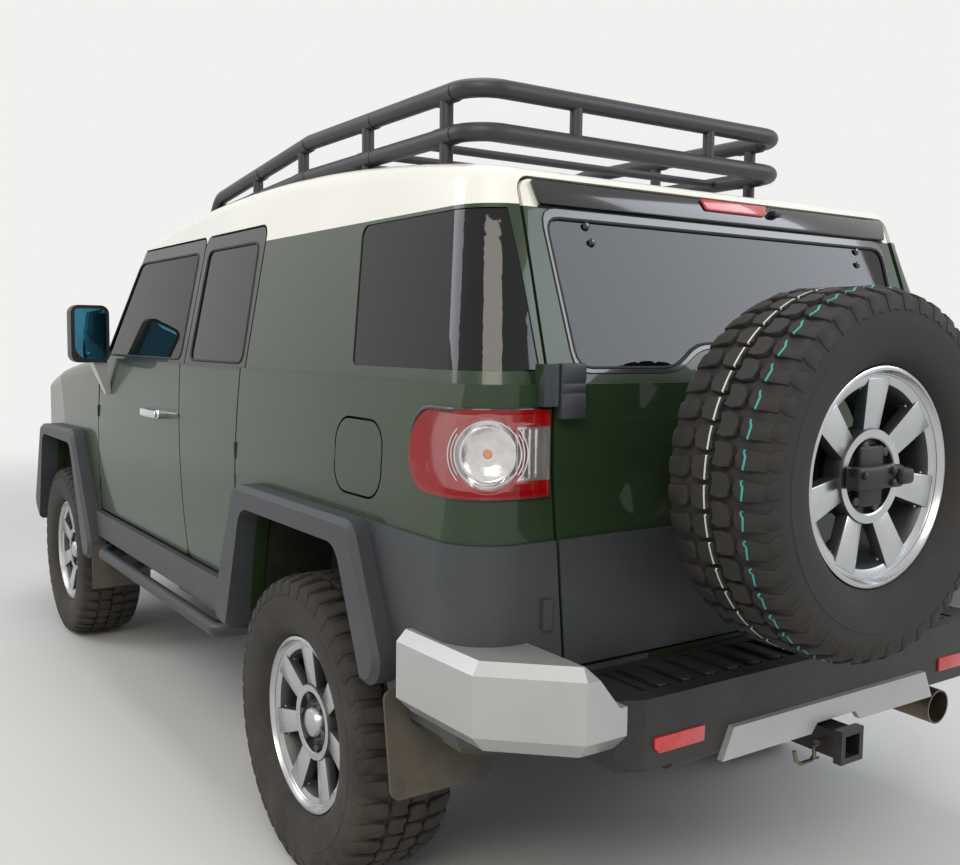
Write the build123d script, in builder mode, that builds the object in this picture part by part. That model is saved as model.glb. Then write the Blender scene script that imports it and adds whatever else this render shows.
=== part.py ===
from build123d import *
import os

os.makedirs("parts", exist_ok=True)

# Lifted off-road 4x4. Millimetres, +X forward, +Y left, +Z up, the ground at Z = 0.
# The origin lies under the middle of the box around the whole vehicle.

# Driving dimensions
wheelbase = 2690
front_overhang = 885
rear_overhang = 1206
track = 1605
tyre_radius = 400
tyre_width = 275
rim_radius = 233.2
rim_width = 216
sill_height = 560
door_bottom = 675
belt_height = 1335
band_height = 1725
door_top = 1772
roof_crown = 1905
body_half_width = 893
edge_half_width = 872
flare_half_width = 952.5
house_half_width = 857
roof_half_width = 722
tail_length = 765
door_thickness = 66
panel_thickness = 40
house_thickness = 42
glass_thickness = 5
glass_inset = 3
door_gap = 8
seat_gap = 0.3
window_bottom = 1348
window_top = 1726

rear_x = (rear_overhang - front_overhang - wheelbase) / 2
front_x = rear_x + wheelbase
wheel_y = track / 2
axle_height = tyre_radius

# Stations along the body
cowl_x = front_x - 400
nose_x = front_x + 745
tail_x = rear_x - tail_length
front_door_front = front_x - 540
door_split = rear_x + 1100
access_door_rear = rear_x + 533
rear_door_half_width = 680
rear_door_bottom = 722
rear_door_top = 1784
cladding_top = 1003
bonnet_half_width = 700
bonnet_rear = front_x - 335
hinge_pin_radius = 2.7
hinge_y = body_half_width
front_hinge_x = front_door_front + hinge_pin_radius + seat_gap
access_hinge_x = access_door_rear - hinge_pin_radius - seat_gap
rear_hinge_x = tail_x - 12
rear_hinge_y = rear_door_half_width + 10
rear_pin_radius = 9.7
rear_hinge_low = 1290
rear_hinge_high = 1378
bonnet_hinge_x = bonnet_rear - 10
bonnet_hinge_z = 1300
flap_front = rear_x - 150
flap_hinge_y = 886
front_hinge_heights = (760, 1080)
access_hinge_heights = (960, 1060)
hinge_length = 50


def side_prism(points, y_low, y_high, radius=0, grow=0):
    # Outline drawn in XZ, solid between two Y planes, the outline grown on every side
    with BuildPart(mode=Mode.PRIVATE) as solid:
        with BuildSketch(Plane.XZ.offset(-y_high)) as outline:
            with BuildLine():
                Polyline(*points, close=True)
            make_face()
            if radius:
                fillet(outline.vertices(), radius)
            if grow:
                offset(amount=grow, kind=Kind.INTERSECTION)
        extrude(amount=y_high - y_low)
    return solid.part


def cross_prism(points, x_low, x_high, radius=0, grow=0):
    # Outline drawn in YZ, solid between two X planes, the outline grown on every side
    with BuildPart(mode=Mode.PRIVATE) as solid:
        with BuildSketch(Plane.YZ.offset(x_low)) as outline:
            with BuildLine():
                Polyline(*points, close=True)
            make_face()
            if radius:
                fillet(outline.vertices(), radius)
            if grow:
                offset(amount=grow, kind=Kind.INTERSECTION)
        extrude(amount=x_high - x_low)
    return solid.part


def plan_prism(points, z_low, z_high, radius=0):
    # Outline drawn in XY, solid between two heights
    with BuildPart(mode=Mode.PRIVATE) as solid:
        with BuildSketch(Plane.XY.offset(z_low)) as outline:
            with BuildLine():
                Polyline(*points, close=True)
            make_face()
            if radius:
                fillet(outline.vertices(), radius)
        extrude(amount=z_high - z_low)
    return solid.part


def box_between(x, y, z):
    # Plain block between two corners, each axis given as (low, high)
    return plan_prism([(x[0], y[0]), (x[1], y[0]), (x[1], y[1]), (x[0], y[1])], z[0], z[1])


def rod(start, end, radius):
    # Round bar from one point to another
    with BuildPart(mode=Mode.PRIVATE) as bar:
        axis = Vector(*end) - Vector(*start)
        with BuildSketch(Plane(origin=start, z_dir=axis)):
            Circle(radius)
        extrude(amount=axis.length)
    return bar.part


def tube_path(points, bend, radius):
    # Round bar along straight runs joined by tangent arcs
    with BuildPart(mode=Mode.PRIVATE) as bar:
        with BuildLine() as path:
            FilletPolyline(*points, radius=bend)
        with BuildSketch(Plane(origin=path.line @ 0, z_dir=path.line % 0)):
            Circle(radius)
        sweep()
    return bar.part


# Body forms, each shrunk by an inset so that two of them make a wall
def tub_form(inset):
    # Lower body from the tail to the cowl
    lift = 20 if inset > 0 else 0
    bottom = sill_height - lift
    half = body_half_width - inset
    edge = edge_half_width - inset
    with BuildPart(mode=Mode.PRIVATE) as form:
        with BuildSketch(Plane.XY.offset(bottom)) as plan:
            with BuildLine():
                Polyline((tail_x + inset, -half), (cowl_x, -half), (cowl_x, half),
                         (tail_x + inset, half), close=True)
            make_face()
            fillet(plan.vertices().group_by(Axis.X)[0], 120 - inset)
        extrude(amount=belt_height + lift - bottom)
        with BuildSketch(Plane.YZ.offset(tail_x - 50)) as section:
            with BuildLine():
                left = ThreePointArc((edge, bottom), (half, 930), (edge, belt_height + lift))
                Line(left @ 1, (-edge, belt_height + lift))
                right = ThreePointArc((-edge, belt_height + lift), (-half, 930), (-edge, bottom))
                Line(right @ 1, left @ 0)
            make_face()
        extrude(amount=wheelbase + tail_length + 100, mode=Mode.INTERSECT)
    return form.part


def nose_form(inset):
    # Bonnet and wings from the cowl to the grille
    half = body_half_width - inset
    edge = edge_half_width - inset
    back = cowl_x - 260
    with BuildPart(mode=Mode.PRIVATE) as form:
        with BuildSketch(Plane.XY.offset(sill_height - 60)) as plan:
            with BuildLine():
                Polyline((back, -half), (front_x + 100, -half), (nose_x - 60 - inset, -half + 40),
                         (nose_x - inset, 0), (nose_x - 60 - inset, half - 40), (front_x + 100, half),
                         (back, half), close=True)
            make_face()
            fillet(plan.vertices().group_by(Axis.X)[2], 150 - inset)
        extrude(amount=1460 - sill_height)
        with BuildSketch(Plane.YZ.offset(back)) as section:
            with BuildLine():
                left = ThreePointArc((edge, sill_height - 60), (half, 930), (edge, 1400))
                Line(left @ 1, (-edge, 1400))
                right = ThreePointArc((-edge, 1400), (-half, 930), (-edge, sill_height - 60))
                Line(right @ 1, left @ 0)
            make_face()
        extrude(amount=nose_x - back, mode=Mode.INTERSECT)
        with BuildSketch(Plane.XZ.offset(-1000)) as side:
            with BuildLine():
                top = ThreePointArc((back, 1343 - inset), (front_x + 250, 1262 - inset),
                                    (nose_x, 1172 - inset))
                Polyline(top @ 1, (nose_x, sill_height - 60), (back, sill_height - 60), top @ 0)
            make_face()
        extrude(amount=2000, mode=Mode.INTERSECT)
        top_face = form.faces().sort_by(Axis.Z)[-1]
        fillet(top_face.edges().filter_by(lambda e: e.center().X > back + 50), 62 - inset)
    return form.part


def house_form(inset):
    # Cabin above the belt, leaning in on every side, with a crowned top
    # Columns: height, rear end, front end, half width, rear corner, front corner
    sections = [
        (belt_height, rear_x - 748, cowl_x, house_half_width, 130, 200),
        (roof_crown + 25, rear_x - 552, cowl_x - 381, roof_half_width, 110, 150),
    ]
    with BuildPart(mode=Mode.PRIVATE) as form:
        for height, rear, front, half, rear_corner, front_corner in sections:
            with BuildSketch(Plane.XY.offset(height)) as level:
                with Locations(((rear + front) / 2, 0)):
                    Rectangle(front - rear - 2 * inset, 2 * (half - inset))
                fillet(level.vertices().group_by(Axis.X)[0], rear_corner - inset / 2)
                fillet(level.vertices().group_by(Axis.X)[-1], front_corner - inset / 2)
        loft()
        with BuildSketch(Plane.XZ.offset(-1000)):
            with BuildLine():
                crown = ThreePointArc((rear_x - 760, 1781 - inset), (rear_x + 650, roof_crown - inset),
                                      (rear_x + 2300, 1736 - inset))
                Polyline(crown @ 1, (rear_x + 2300, belt_height - 5), (rear_x - 760, belt_height - 5),
                         crown @ 0)
            make_face()
        extrude(amount=2000, mode=Mode.INTERSECT)
        fillet(form.faces().sort_by(Axis.Z)[-1].edges(), 55 - inset / 2)
    return form.part


def joined(*shapes):
    # Several shapes as one part
    with BuildPart(mode=Mode.PRIVATE) as whole:
        for shape in shapes:
            add(shape)
    return whole.part


def common(first, *others):
    # What the first shape shares with each of the others
    with BuildPart(mode=Mode.PRIVATE) as whole:
        add(first)
        for shape in others:
            add(shape, mode=Mode.INTERSECT)
    return whole.part


def cut(first, *others):
    # The first shape without the others
    with BuildPart(mode=Mode.PRIVATE) as whole:
        add(first)
        for shape in others:
            add(shape, mode=Mode.SUBTRACT)
    return whole.part


def flipped(shape):
    # The same shape on the right hand side
    with BuildPart(mode=Mode.PRIVATE) as whole:
        mirror(shape, about=Plane.XZ)
    return whole.part


def both_sides(shape):
    return joined(shape, flipped(shape))


def save(shape, label):
    shape.label = label
    export_step(shape, f"parts/{label}.step")


def hinge_leaf(x, y, edge, low, high):
    # Upright hinge pin in a shut line, on a thin leaf from the fixed panel's edge
    return joined(rod((x, y, low), (x, y, high), hinge_pin_radius),
                  box_between(sorted((x, edge)), (y - 6, y + 1.5), (low, high)))


far = 3000

tub_outer = tub_form(0)
tub_door = cut(tub_outer, tub_form(door_thickness))
tub_panel = cut(tub_outer, tub_form(panel_thickness))
house_outer = house_form(0)
house_shell = cut(house_outer, house_form(house_thickness))
glass_shell = cut(house_form(glass_inset), house_form(glass_inset + glass_thickness))
nose_outer = nose_form(0)
nose_shell = cut(nose_outer, nose_form(panel_thickness))
body_shell = joined(tub_door, house_shell)
quarter_shell = joined(tub_panel, house_shell)

# Side outlines of the doors and their windows, as points (x, z)
front_door_outline = [
    (front_door_front, door_bottom),
    (front_door_front, belt_height),
    (front_x - 772, door_top),
    (door_split + 30 + door_gap / 2, door_top),
    (door_split + door_gap / 2, belt_height),
    (door_split - 100 + door_gap / 2, door_bottom),
]
access_door_outline = [
    (door_split - 100 - door_gap / 2, door_bottom),
    (door_split - door_gap / 2, belt_height),
    (door_split + 30 - door_gap / 2, door_top),
    (access_door_rear + 52, door_top),
    (access_door_rear, belt_height),
    (access_door_rear, 950),
    (access_door_rear + 95, door_bottom),
]
front_window_outline = [
    (front_x - 561, window_bottom),
    (front_x - 800, window_top),
    (door_split + 82, window_top),
    (door_split + 52, window_bottom),
]
access_window_outline = [
    (door_split - 50, window_bottom),
    (door_split - 22, window_top),
    (access_door_rear + 93, window_top),
    (access_door_rear + 31, window_bottom),
]
quarter_window_outline = [
    (rear_x - 170, 1362),
    (rear_x - 70, 1716),
    (rear_x - 900, 1716),
    (rear_x - 900, 1362),
]
rear_door_outline = [
    (645, rear_door_bottom),
    (668, 1010),
    (rear_door_half_width, 1150),
    (rear_door_half_width, belt_height),
    (662, rear_door_top),
    (-662, rear_door_top),
    (-rear_door_half_width, belt_height),
    (-rear_door_half_width, 1150),
    (-668, 1010),
    (-645, rear_door_bottom),
]
rear_window_outline = [
    (596, 1368),
    (300, 1368),
    (215, 1424),
    (-60, 1424),
    (-145, 1368),
    (-596, 1368),
    (-610, 1700),
    (610, 1700),
]
windscreen_outline = [
    (-718, 1372),
    (718, 1372),
    (628, 1712),
    (-628, 1712),
]
rear_arch_outline = [
    (rear_x + 505, 440),
    (rear_x + 340, 940),
    (rear_x - 275, 940),
    (rear_x - 500, 440),
]
front_arch_outline = [
    (front_x - 500, 380),
    (front_x - 245, 940),
    (front_x + 335, 940),
    (front_x + 480, 380),
]


def front_door_block(grow=0):
    return side_prism(front_door_outline, 500, 1000, 28, grow)


def access_door_block(grow=0):
    return side_prism(access_door_outline, 500, 1000, 40, grow)


def rear_door_block(grow=0):
    return cross_prism(rear_door_outline, tail_x - 100, rear_x - 480, 30, grow)


def arch_block(outline, y_low, y_high, grow=0):
    return side_prism(outline, y_low, y_high, 70, grow)


# Side doors
front_window = side_prism(front_window_outline, 500, 1000, 26)
access_window = side_prism(access_window_outline, 500, 1000, 42)
front_door = cut(common(body_shell, front_door_block()), front_window)
access_door = cut(common(body_shell, access_door_block()), access_window)
front_glass = common(glass_shell, side_prism(front_window_outline, 500, 1000, 26, -seat_gap))
access_glass = common(glass_shell, side_prism(access_window_outline, 500, 1000, 42, -seat_gap))

# Door handles stand on the front doors
handle_x = door_split + 190
with BuildPart() as handle:
    with BuildSketch(Plane.XZ.offset(-880)) as grip:
        with Locations((handle_x, 1150)):
            Rectangle(190, 34)
        fillet(grip.vertices(), 16)
    extrude(amount=-48)
    fillet(handle.faces().sort_by(Axis.Y)[-1].edges(), 9)
    add(tub_outer, mode=Mode.SUBTRACT)
front_door = joined(front_door, handle.part)

# Mirrors on short tapered stalks
mirror_x = front_x - 750
with BuildPart() as mirror_left:
    with BuildSketch(Plane.YZ.offset(mirror_x)) as head:
        with Locations((969, 1435)):
            Rectangle(152, 235)
        fillet(head.vertices(), 34)
    extrude(amount=95)
    fillet(mirror_left.faces().sort_by(Axis.X)[-1].edges(), 30)
    with BuildSketch(Plane.XY.offset(1330)):
        with Locations((mirror_x + 50, 932)):
            Rectangle(78, 62)
    with BuildSketch(Plane.XY.offset(1185)):
        with Locations((mirror_x + 50, 892)):
            Rectangle(34, 20)
    loft()
    add(cut(tub_outer, box_between((-far, far), (0, 1000), (0, 1100))), mode=Mode.SUBTRACT)

save(front_door, "front_door_left")
save(flipped(front_door), "front_door_right")
save(front_glass, "front_door_glass_left")
save(flipped(front_glass), "front_door_glass_right")
save(access_door, "access_door_left")
save(flipped(access_door), "access_door_right")
save(access_glass, "access_glass_left")
save(flipped(access_glass), "access_glass_right")
save(mirror_left.part, "mirror_left")
save(flipped(mirror_left.part), "mirror_right")

# Rear door with its window, hinge covers and lower cladding
rear_window = cross_prism(rear_window_outline, tail_x - 100, rear_x - 480, 30)
cladding_layer = cut(tub_form(-8), tub_outer)
layer_cut = box_between((-far, far), (-far, far), (cladding_top, far))
tail_shell = common(body_shell, box_between((-far, rear_x - 440), (-far, far), (0, far)))
rear_door = common(joined(tail_shell, cut(cladding_layer, layer_cut)), rear_door_block())
rear_door = cut(rear_door, rear_window)
rear_glass = common(glass_shell, cross_prism(rear_window_outline, tail_x - 100, rear_x - 480, 30, -seat_gap))

# Spare wheel seat: a bracket on the rear door
spare_y = 135
spare_z = 1150
spare_width = tyre_width
spare_face_x = rear_x - rear_overhang
spare_centre_x = spare_face_x + spare_width / 2
hub_back = 14
bracket_back = tail_x
bracket_seat = spare_centre_x - hub_back + seat_gap
with BuildPart() as spare_bracket:
    with BuildSketch(Plane.YZ.offset(bracket_back)) as base:
        with Locations((spare_y, spare_z)):
            Rectangle(300, 260)
        fillet(base.vertices(), 40)
    with BuildSketch(Plane.YZ.offset(bracket_seat)) as pad:
        with Locations((spare_y, spare_z)):
            Rectangle(170, 170)
        fillet(pad.vertices(), 38)
    loft()
hinge_reach = (rear_hinge_x - 9, tail_x + 12)
hinge_span = (rear_hinge_low, rear_hinge_high)
door_leaf = box_between(hinge_reach, (615, rear_hinge_y - rear_pin_radius - seat_gap), hinge_span)
rear_door = joined(rear_door, spare_bracket.part, door_leaf)

# Arches, openings and the fixed outer panels
openings = [front_door_block(door_gap), access_door_block(door_gap)]
rear_arch = arch_block(rear_arch_outline, 400, 1100)
front_arch = arch_block(front_arch_outline, 400, 1100)
quarter_window_inner = rear_door_half_width + door_gap + 12
quarter_window = cut(side_prism(quarter_window_outline, 400, 1000, 24),
                     box_between((-far, far), (-far, quarter_window_inner), (0, far)))
left_side = box_between((-far, far), (30, far), (0, far))

# Fuel flap and tail lamp, each let into the rear quarter
fuel_points = [(flap_front, 1055), (flap_front, 1233), (rear_x - 385, 1233), (rear_x - 385, 1055)]
fuel_flap = common(cut(tub_outer, tub_form(12)), side_prism(fuel_points, 700, 1000, 62))
fuel_pocket = common(cut(tub_form(-30), tub_form(32)), side_prism(fuel_points, 700, 1000, 62, 6))
lamp_points = [(rear_x - 520, 1100), (rear_x - 520, 1284), (rear_x - 960, 1284), (rear_x - 960, 1100)]
lamp_inner = rear_door_half_width + door_gap + 8
lamp_side = cut(side_prism(lamp_points, 500, 1000, 84),
                box_between((-far, far), (-far, lamp_inner), (0, far)))
lamp_side_grown = cut(side_prism(lamp_points, 500, 1000, 84, seat_gap),
                      box_between((-far, far), (-far, lamp_inner - seat_gap), (0, far)))
tail_lamp = common(cut(tub_form(-7), tub_form(30)), lamp_side)
lamp_pocket = common(cut(tub_form(-30), tub_form(30 + seat_gap)), lamp_side_grown)

rear_quarter = common(quarter_shell, left_side,
                      box_between((-far, access_door_rear + 190), (-far, far), (0, band_height)))
rear_quarter = cut(rear_quarter, openings[1], rear_door_block(door_gap), rear_arch,
                   quarter_window, lamp_pocket)
body_leaf = box_between(hinge_reach, (rear_hinge_y, rear_hinge_y + 34), hinge_span)
rear_pin = rod((rear_hinge_x, rear_hinge_y, rear_hinge_low), (rear_hinge_x, rear_hinge_y, rear_hinge_high),
               rear_pin_radius)
cap_x = rear_x - 268
filler_cap = rod((cap_x, body_half_width - 42, 1145), (cap_x, body_half_width - 23, 1145), 34)
quarter_glass = common(glass_shell,
                       cut(side_prism(quarter_window_outline, 400, 1000, 24, -seat_gap),
                           box_between((-far, far), (-far, quarter_window_inner + seat_gap), (0, far))))
save(rear_door, "rear_door")
save(rear_glass, "rear_glass")
save(fuel_flap, "fuel_flap")
save(both_sides(tail_lamp), "tail_lamps")
access_edge = access_door_rear - door_gap - 1
access_hinges = [hinge_leaf(access_hinge_x, hinge_y, access_edge, low, low + hinge_length)
                 for low in access_hinge_heights]
flap_leaf = hinge_leaf(flap_front + hinge_pin_radius + seat_gap, flap_hinge_y, flap_front + 7, 1125, 1163)
quarter_right = flipped(joined(rear_quarter, *access_hinges))
rear_quarter = joined(cut(rear_quarter, fuel_pocket), *access_hinges, flap_leaf, filler_cap,
                      body_leaf, rear_pin)
save(rear_quarter, "rear_quarter_left")
save(quarter_right, "rear_quarter_right")
save(both_sides(quarter_glass), "quarter_glass")

# Roof: everything of the cabin above the band, less the door openings
roof = common(house_shell, box_between((-far, far), (-far, far), (band_height, far)))
roof = cut(roof, *openings, *[flipped(opening) for opening in openings], rear_door_block(door_gap))
save(roof, "roof")

# Windscreen frame, firewall and cowl
windscreen_block = cross_prism(windscreen_outline, cowl_x - 600, cowl_x + 100, 60)
pillars = common(house_shell, box_between((front_x - 1000, far), (-far, far), (0, band_height)))
pillars = cut(pillars, openings[0], flipped(openings[0]), windscreen_block)
windscreen = common(glass_shell,
                    cross_prism(windscreen_outline, cowl_x - 600, cowl_x + 100, 60, -seat_gap))
save(windscreen, "windscreen")

# Front wings and bonnet from the nose shell
front_region = box_between((front_door_front + door_gap, far), (-far, far), (0, far))
above_belt = box_between((-far, cowl_x + 4), (-far, far), (belt_height, far))
bonnet_region = box_between((bonnet_rear, far), (-bonnet_half_width, bonnet_half_width), (1120, far))
bonnet_open = box_between((front_x - 700, far), (-bonnet_half_width - 6, bonnet_half_width + 6), (0, far))
grille_half_width = 800
grille_high = 1112
grille_span = (-grille_half_width, grille_half_width)
grille_open = box_between((front_x + 600, far), grille_span, (500, grille_high))
bonnet = common(nose_shell, bonnet_region)
wing = cut(common(nose_shell, front_region, left_side), above_belt, bonnet_open, grille_open, front_arch,
           box_between((front_x + 540, far), (-far, far), (0, 760)))
front_edge = front_door_front + door_gap + 1
front_hinges = [hinge_leaf(front_hinge_x, hinge_y, front_edge, low, low + hinge_length)
                for low in front_hinge_heights]
wing = joined(wing, *front_hinges)
save(wing, "front_wing_left")
save(flipped(wing), "front_wing_right")
save(bonnet, "bonnet")

# Firewall, cowl shelf, inner wings and front wheelhouses around the engine bay
firewall_x = front_x - 470
inner_wing_y = 455
floor_z = 615
floor_thickness = 25
firewall = box_between((firewall_x - 25, firewall_x), (-800, 800), (floor_z + floor_thickness, 1250))
cowl_shelf = box_between((firewall_x - 25, bonnet_hinge_x + 5), (-800, 800), (1232, 1262))
cowl_face = box_between((cowl_x - 60, cowl_x - 30), (-800, 800), (1262, 1335))
inner_wing = box_between((firewall_x, front_x + 600), (inner_wing_y, inner_wing_y + 12), (660, 1120))
wheelhouse = cut(arch_block(front_arch_outline, inner_wing_y, body_half_width - 50, 14),
                 arch_block(front_arch_outline, inner_wing_y - 50, body_half_width, 4),
                 box_between((-far, far), (0, far), (0, 560)),
                 box_between((-far, firewall_x), (0, far), (0, far)))
wheelhouse_wall = cut(common(arch_block(front_arch_outline, inner_wing_y, inner_wing_y + 12, 14),
                             box_between((firewall_x, far), (0, far), (560, far))))
radiator_panel = cut(box_between((front_x + 560, front_x + 600), (-inner_wing_y - 12, inner_wing_y + 12),
                                 (660, 1120)), box_between((front_x, far), (-330, 330), (700, 1060)))
bonnet_pins = [rod((bonnet_hinge_x, side * 600, bonnet_hinge_z),
                   (bonnet_hinge_x, side * 660, bonnet_hinge_z), rear_pin_radius) for side in (-1, 1)]
bonnet_posts = [box_between((bonnet_hinge_x - 4, bonnet_hinge_x + 4), sorted((side * 600, side * 660)),
                            (1262, bonnet_hinge_z)) for side in (-1, 1)]
front_structure = joined(pillars, *bonnet_pins, *bonnet_posts, firewall, cowl_shelf, cowl_face)
front_structure = cut(front_structure, wing, flipped(wing))
arm_window = box_between((front_x - 170, front_x + 170), (430, 480), (500, 870))
inner_wings = joined(radiator_panel, both_sides(cut(joined(inner_wing, wheelhouse, wheelhouse_wall),
                                                    wing, arm_window)))
inner_wings = cut(inner_wings, front_structure)
save(front_structure, "front_structure")
save(inner_wings, "inner_wings")

# Floor pan with tunnel, rockers, raised load floor and rear wheelhouses
load_floor_z = 800
rear_inner_y = 612
step_x = rear_x + 400
cabin_half = 800
floor_top = floor_z + floor_thickness
floor_plate = box_between((step_x, firewall_x - 25), (-cabin_half, cabin_half), (floor_z, floor_top))
rocker = box_between((rear_x + 600, front_x - 532), (760, 800), (sill_height, floor_top + 20))
riser = box_between((step_x, step_x + 20), (-cabin_half, cabin_half), (floor_z, load_floor_z + 20))
load_floor = box_between((tail_x + door_thickness + 10, step_x + 20), (-cabin_half, cabin_half),
                         (load_floor_z, load_floor_z + 20))
tunnel = box_between((step_x, firewall_x - 25), (-150, 150), (floor_z, 760))
rear_house = cut(arch_block(rear_arch_outline, rear_inner_y, body_half_width - 46, 14),
                 arch_block(rear_arch_outline, rear_inner_y - 50, body_half_width, 4),
                 box_between((-far, far), (0, far), (0, sill_height)))
rear_house_wall = common(arch_block(rear_arch_outline, rear_inner_y, rear_inner_y + 12, 14),
                         box_between((-far, far), (0, far), (sill_height, far)))
rear_hollow = arch_block(rear_arch_outline, rear_inner_y + 12, 1000, 4)
floor_pan = joined(floor_plate, rocker, flipped(rocker), riser, load_floor, tunnel)
floor_pan = cut(floor_pan, rear_hollow, flipped(rear_hollow))
floor_pan = cut(floor_pan, rear_quarter, quarter_right, front_structure, inner_wings)
wheelhouses = cut(both_sides(joined(rear_house, rear_house_wall)), floor_pan, rear_quarter, quarter_right)
save(wheelhouses, "wheelhouses")

# Cladding: angular flares, sill and lower rear corner in one run each side
flare_foot = 635
front_flare_outline = [(front_x - 612, 455), (front_x - 262, 1003), (front_x + 390, 985),
                       (front_x + 560, 560), (front_x + 400, 455)]
rear_flare_outline = [(rear_x + 600, 556), (rear_x + 405, 1003), (rear_x - 345, 1003),
                      (rear_x - 509, flare_foot), (rear_x - 100, flare_foot), (rear_x + 100, 556)]


def flare(outline):
    with BuildPart(mode=Mode.PRIVATE) as band:
        with BuildSketch(Plane.XZ.offset(-flare_half_width)) as face:
            with BuildLine():
                Polyline(*outline, close=True)
            make_face()
            fillet(face.vertices(), 60)
        extrude(amount=flare_half_width - 846)
        chamfer(band.faces().sort_by(Axis.Y)[-1].edges(), 15)
    return band.part


sill_front = front_x - 534
sill_clad = side_prism([(rear_x + 560, 562), (rear_x + 560, 667), (sill_front, 667), (sill_front, 562)],
                       800.5, 908)
corner_clad = common(cladding_layer, left_side,
                     side_prism([(rear_x - 300, 575), (rear_x - 300, cladding_top),
                                 (rear_x - 960, cladding_top), (rear_x - 960, 575)], 400, 1000),
                     cut(box_between((-far, far), (400, far), (0, far)), rear_door_block(door_gap)))
front_flare = cut(flare(front_flare_outline), nose_outer, arch_block(front_arch_outline, 300, 1100))
rear_side_clad = cut(joined(flare(rear_flare_outline), sill_clad), tub_outer,
                     arch_block(rear_arch_outline, 300, 1100), openings[1])
corner_clad = cut(corner_clad, arch_block(rear_arch_outline, 300, 1100))
cladding = joined(front_flare, rear_side_clad, corner_clad)
cladding_right = flipped(cladding)
lower_leaf = joined(box_between((rear_hinge_x - 5, tail_x - 4), (rear_hinge_y, rear_hinge_y + 24),
                                (815, 880)),
                    rod((rear_hinge_x, rear_hinge_y, 815), (rear_hinge_x, rear_hinge_y, 880), 5))
cladding_left = joined(cladding, cut(lower_leaf, tub_outer))
save(cladding_left, "cladding_left")
save(cladding_right, "cladding_right")


arm_spread = 188

# Chassis frame: two box rails that rise over the axles, crossmembers and body mounts
rail_y = 400
rail_width = 70
rail_height = 110
rail_points = [(rear_x - 680, 645), (rear_x - 320, 700), (rear_x + 60, 700), (rear_x + 430, 545),
               (front_x - 620, 545), (front_x - 380, 600), (front_x + 660, 600)]
with BuildPart() as rail:
    with BuildSketch(Plane.XZ.offset(-rail_y - rail_width / 2)):
        with BuildLine():
            FilletPolyline(*rail_points, radius=260)
        trace(line_width=rail_height)
    extrude(amount=rail_width)
# Columns: distance ahead of the rear axle, low height, high height, length along X
crossmembers = [(-660, 620, 680, 60), (-200, 668, 728, 60), (470, 500, 560, 60), (1150, 500, 560, 90),
                (1760, 500, 560, 80), (wheelbase - 330, 560, 582, 60), (wheelbase + 585, 560, 640, 70)]
members = [box_between((rear_x + ahead, rear_x + ahead + length), (-rail_y + 20, rail_y - 20), (low, high))
           for ahead, low, high, length in crossmembers]
# Columns: distance ahead of the rear axle, frame top, floor underside
body_mounts = [(-600, 700, 800), (-40, 740, 800), (800, 590, 615), (1800, 590, 615)]
mounts = [rod((rear_x + ahead, rail_y, low), (rear_x + ahead, rail_y, high), 32)
          for ahead, low, high in body_mounts]
arm_brackets = [box_between((front_x + x - 28, front_x + x + 28), (rail_y - 35, rail_y + 35), (300, 560))
                for x in (-arm_spread, arm_spread)]
tower = joined(box_between((front_x - 60, front_x + 60), (rail_y, 590), (800, 812)),
               box_between((front_x - 60, front_x + 60), (rail_y, rail_y + 12), (640, 812)))
side_frame = joined(rail.part, *mounts, *arm_brackets, tower)
chassis_frame = joined(side_frame, flipped(side_frame), *members)
floor_pan = cut(floor_pan, chassis_frame)
save(chassis_frame, "chassis_frame")
save(floor_pan, "floor_pan")

# Rear axle with differential, brake discs and spindles
hub_face_y = wheel_y + hub_back
spindle_radius = 62
disc_radius = 155


def hub_and_disc(x):
    return joined(rod((x, 700, axle_height), (x, hub_face_y - seat_gap, axle_height), spindle_radius),
                  rod((x, 772, axle_height), (x, 792, axle_height), disc_radius))


with BuildPart() as differential:
    with BuildSketch(Plane.XY.offset(axle_height)) as bowl:
        with BuildLine():
            Polyline((rear_x, -175), (rear_x + 90, -150), (rear_x + 140, -70), (rear_x + 140, 70),
                     (rear_x + 90, 150), (rear_x, 175), close=True)
        make_face()
    revolve(axis=Axis((rear_x, 0, axle_height), (0, 1, 0)))
axle_tube = rod((rear_x, -705, axle_height), (rear_x, 705, axle_height), 42)
pinion_nose = rod((rear_x + 100, 0, axle_height), (rear_x + 215, 0, axle_height + 12), 52)
rear_axle = joined(axle_tube, differential.part, pinion_nose, both_sides(hub_and_disc(rear_x)))

# Front knuckles turn about an upright line inside the wheel
kingpin_y = 735
steer_arm = 130
eye_radius = 16
rod_z = 372
knuckle_post = rod((front_x, kingpin_y, 300), (front_x, kingpin_y, 510), 30)
arm_end = front_x + steer_arm + 20
knuckle_arm = side_prism([(front_x, rod_z + 23), (front_x, rod_z + 56), (arm_end, rod_z + 50),
                          (arm_end, rod_z + 23)], kingpin_y - 48, kingpin_y - 16)
knuckle = joined(knuckle_post, hub_and_disc(front_x), knuckle_arm)
save(knuckle, "knuckle_left")
save(flipped(knuckle), "knuckle_right")

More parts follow.
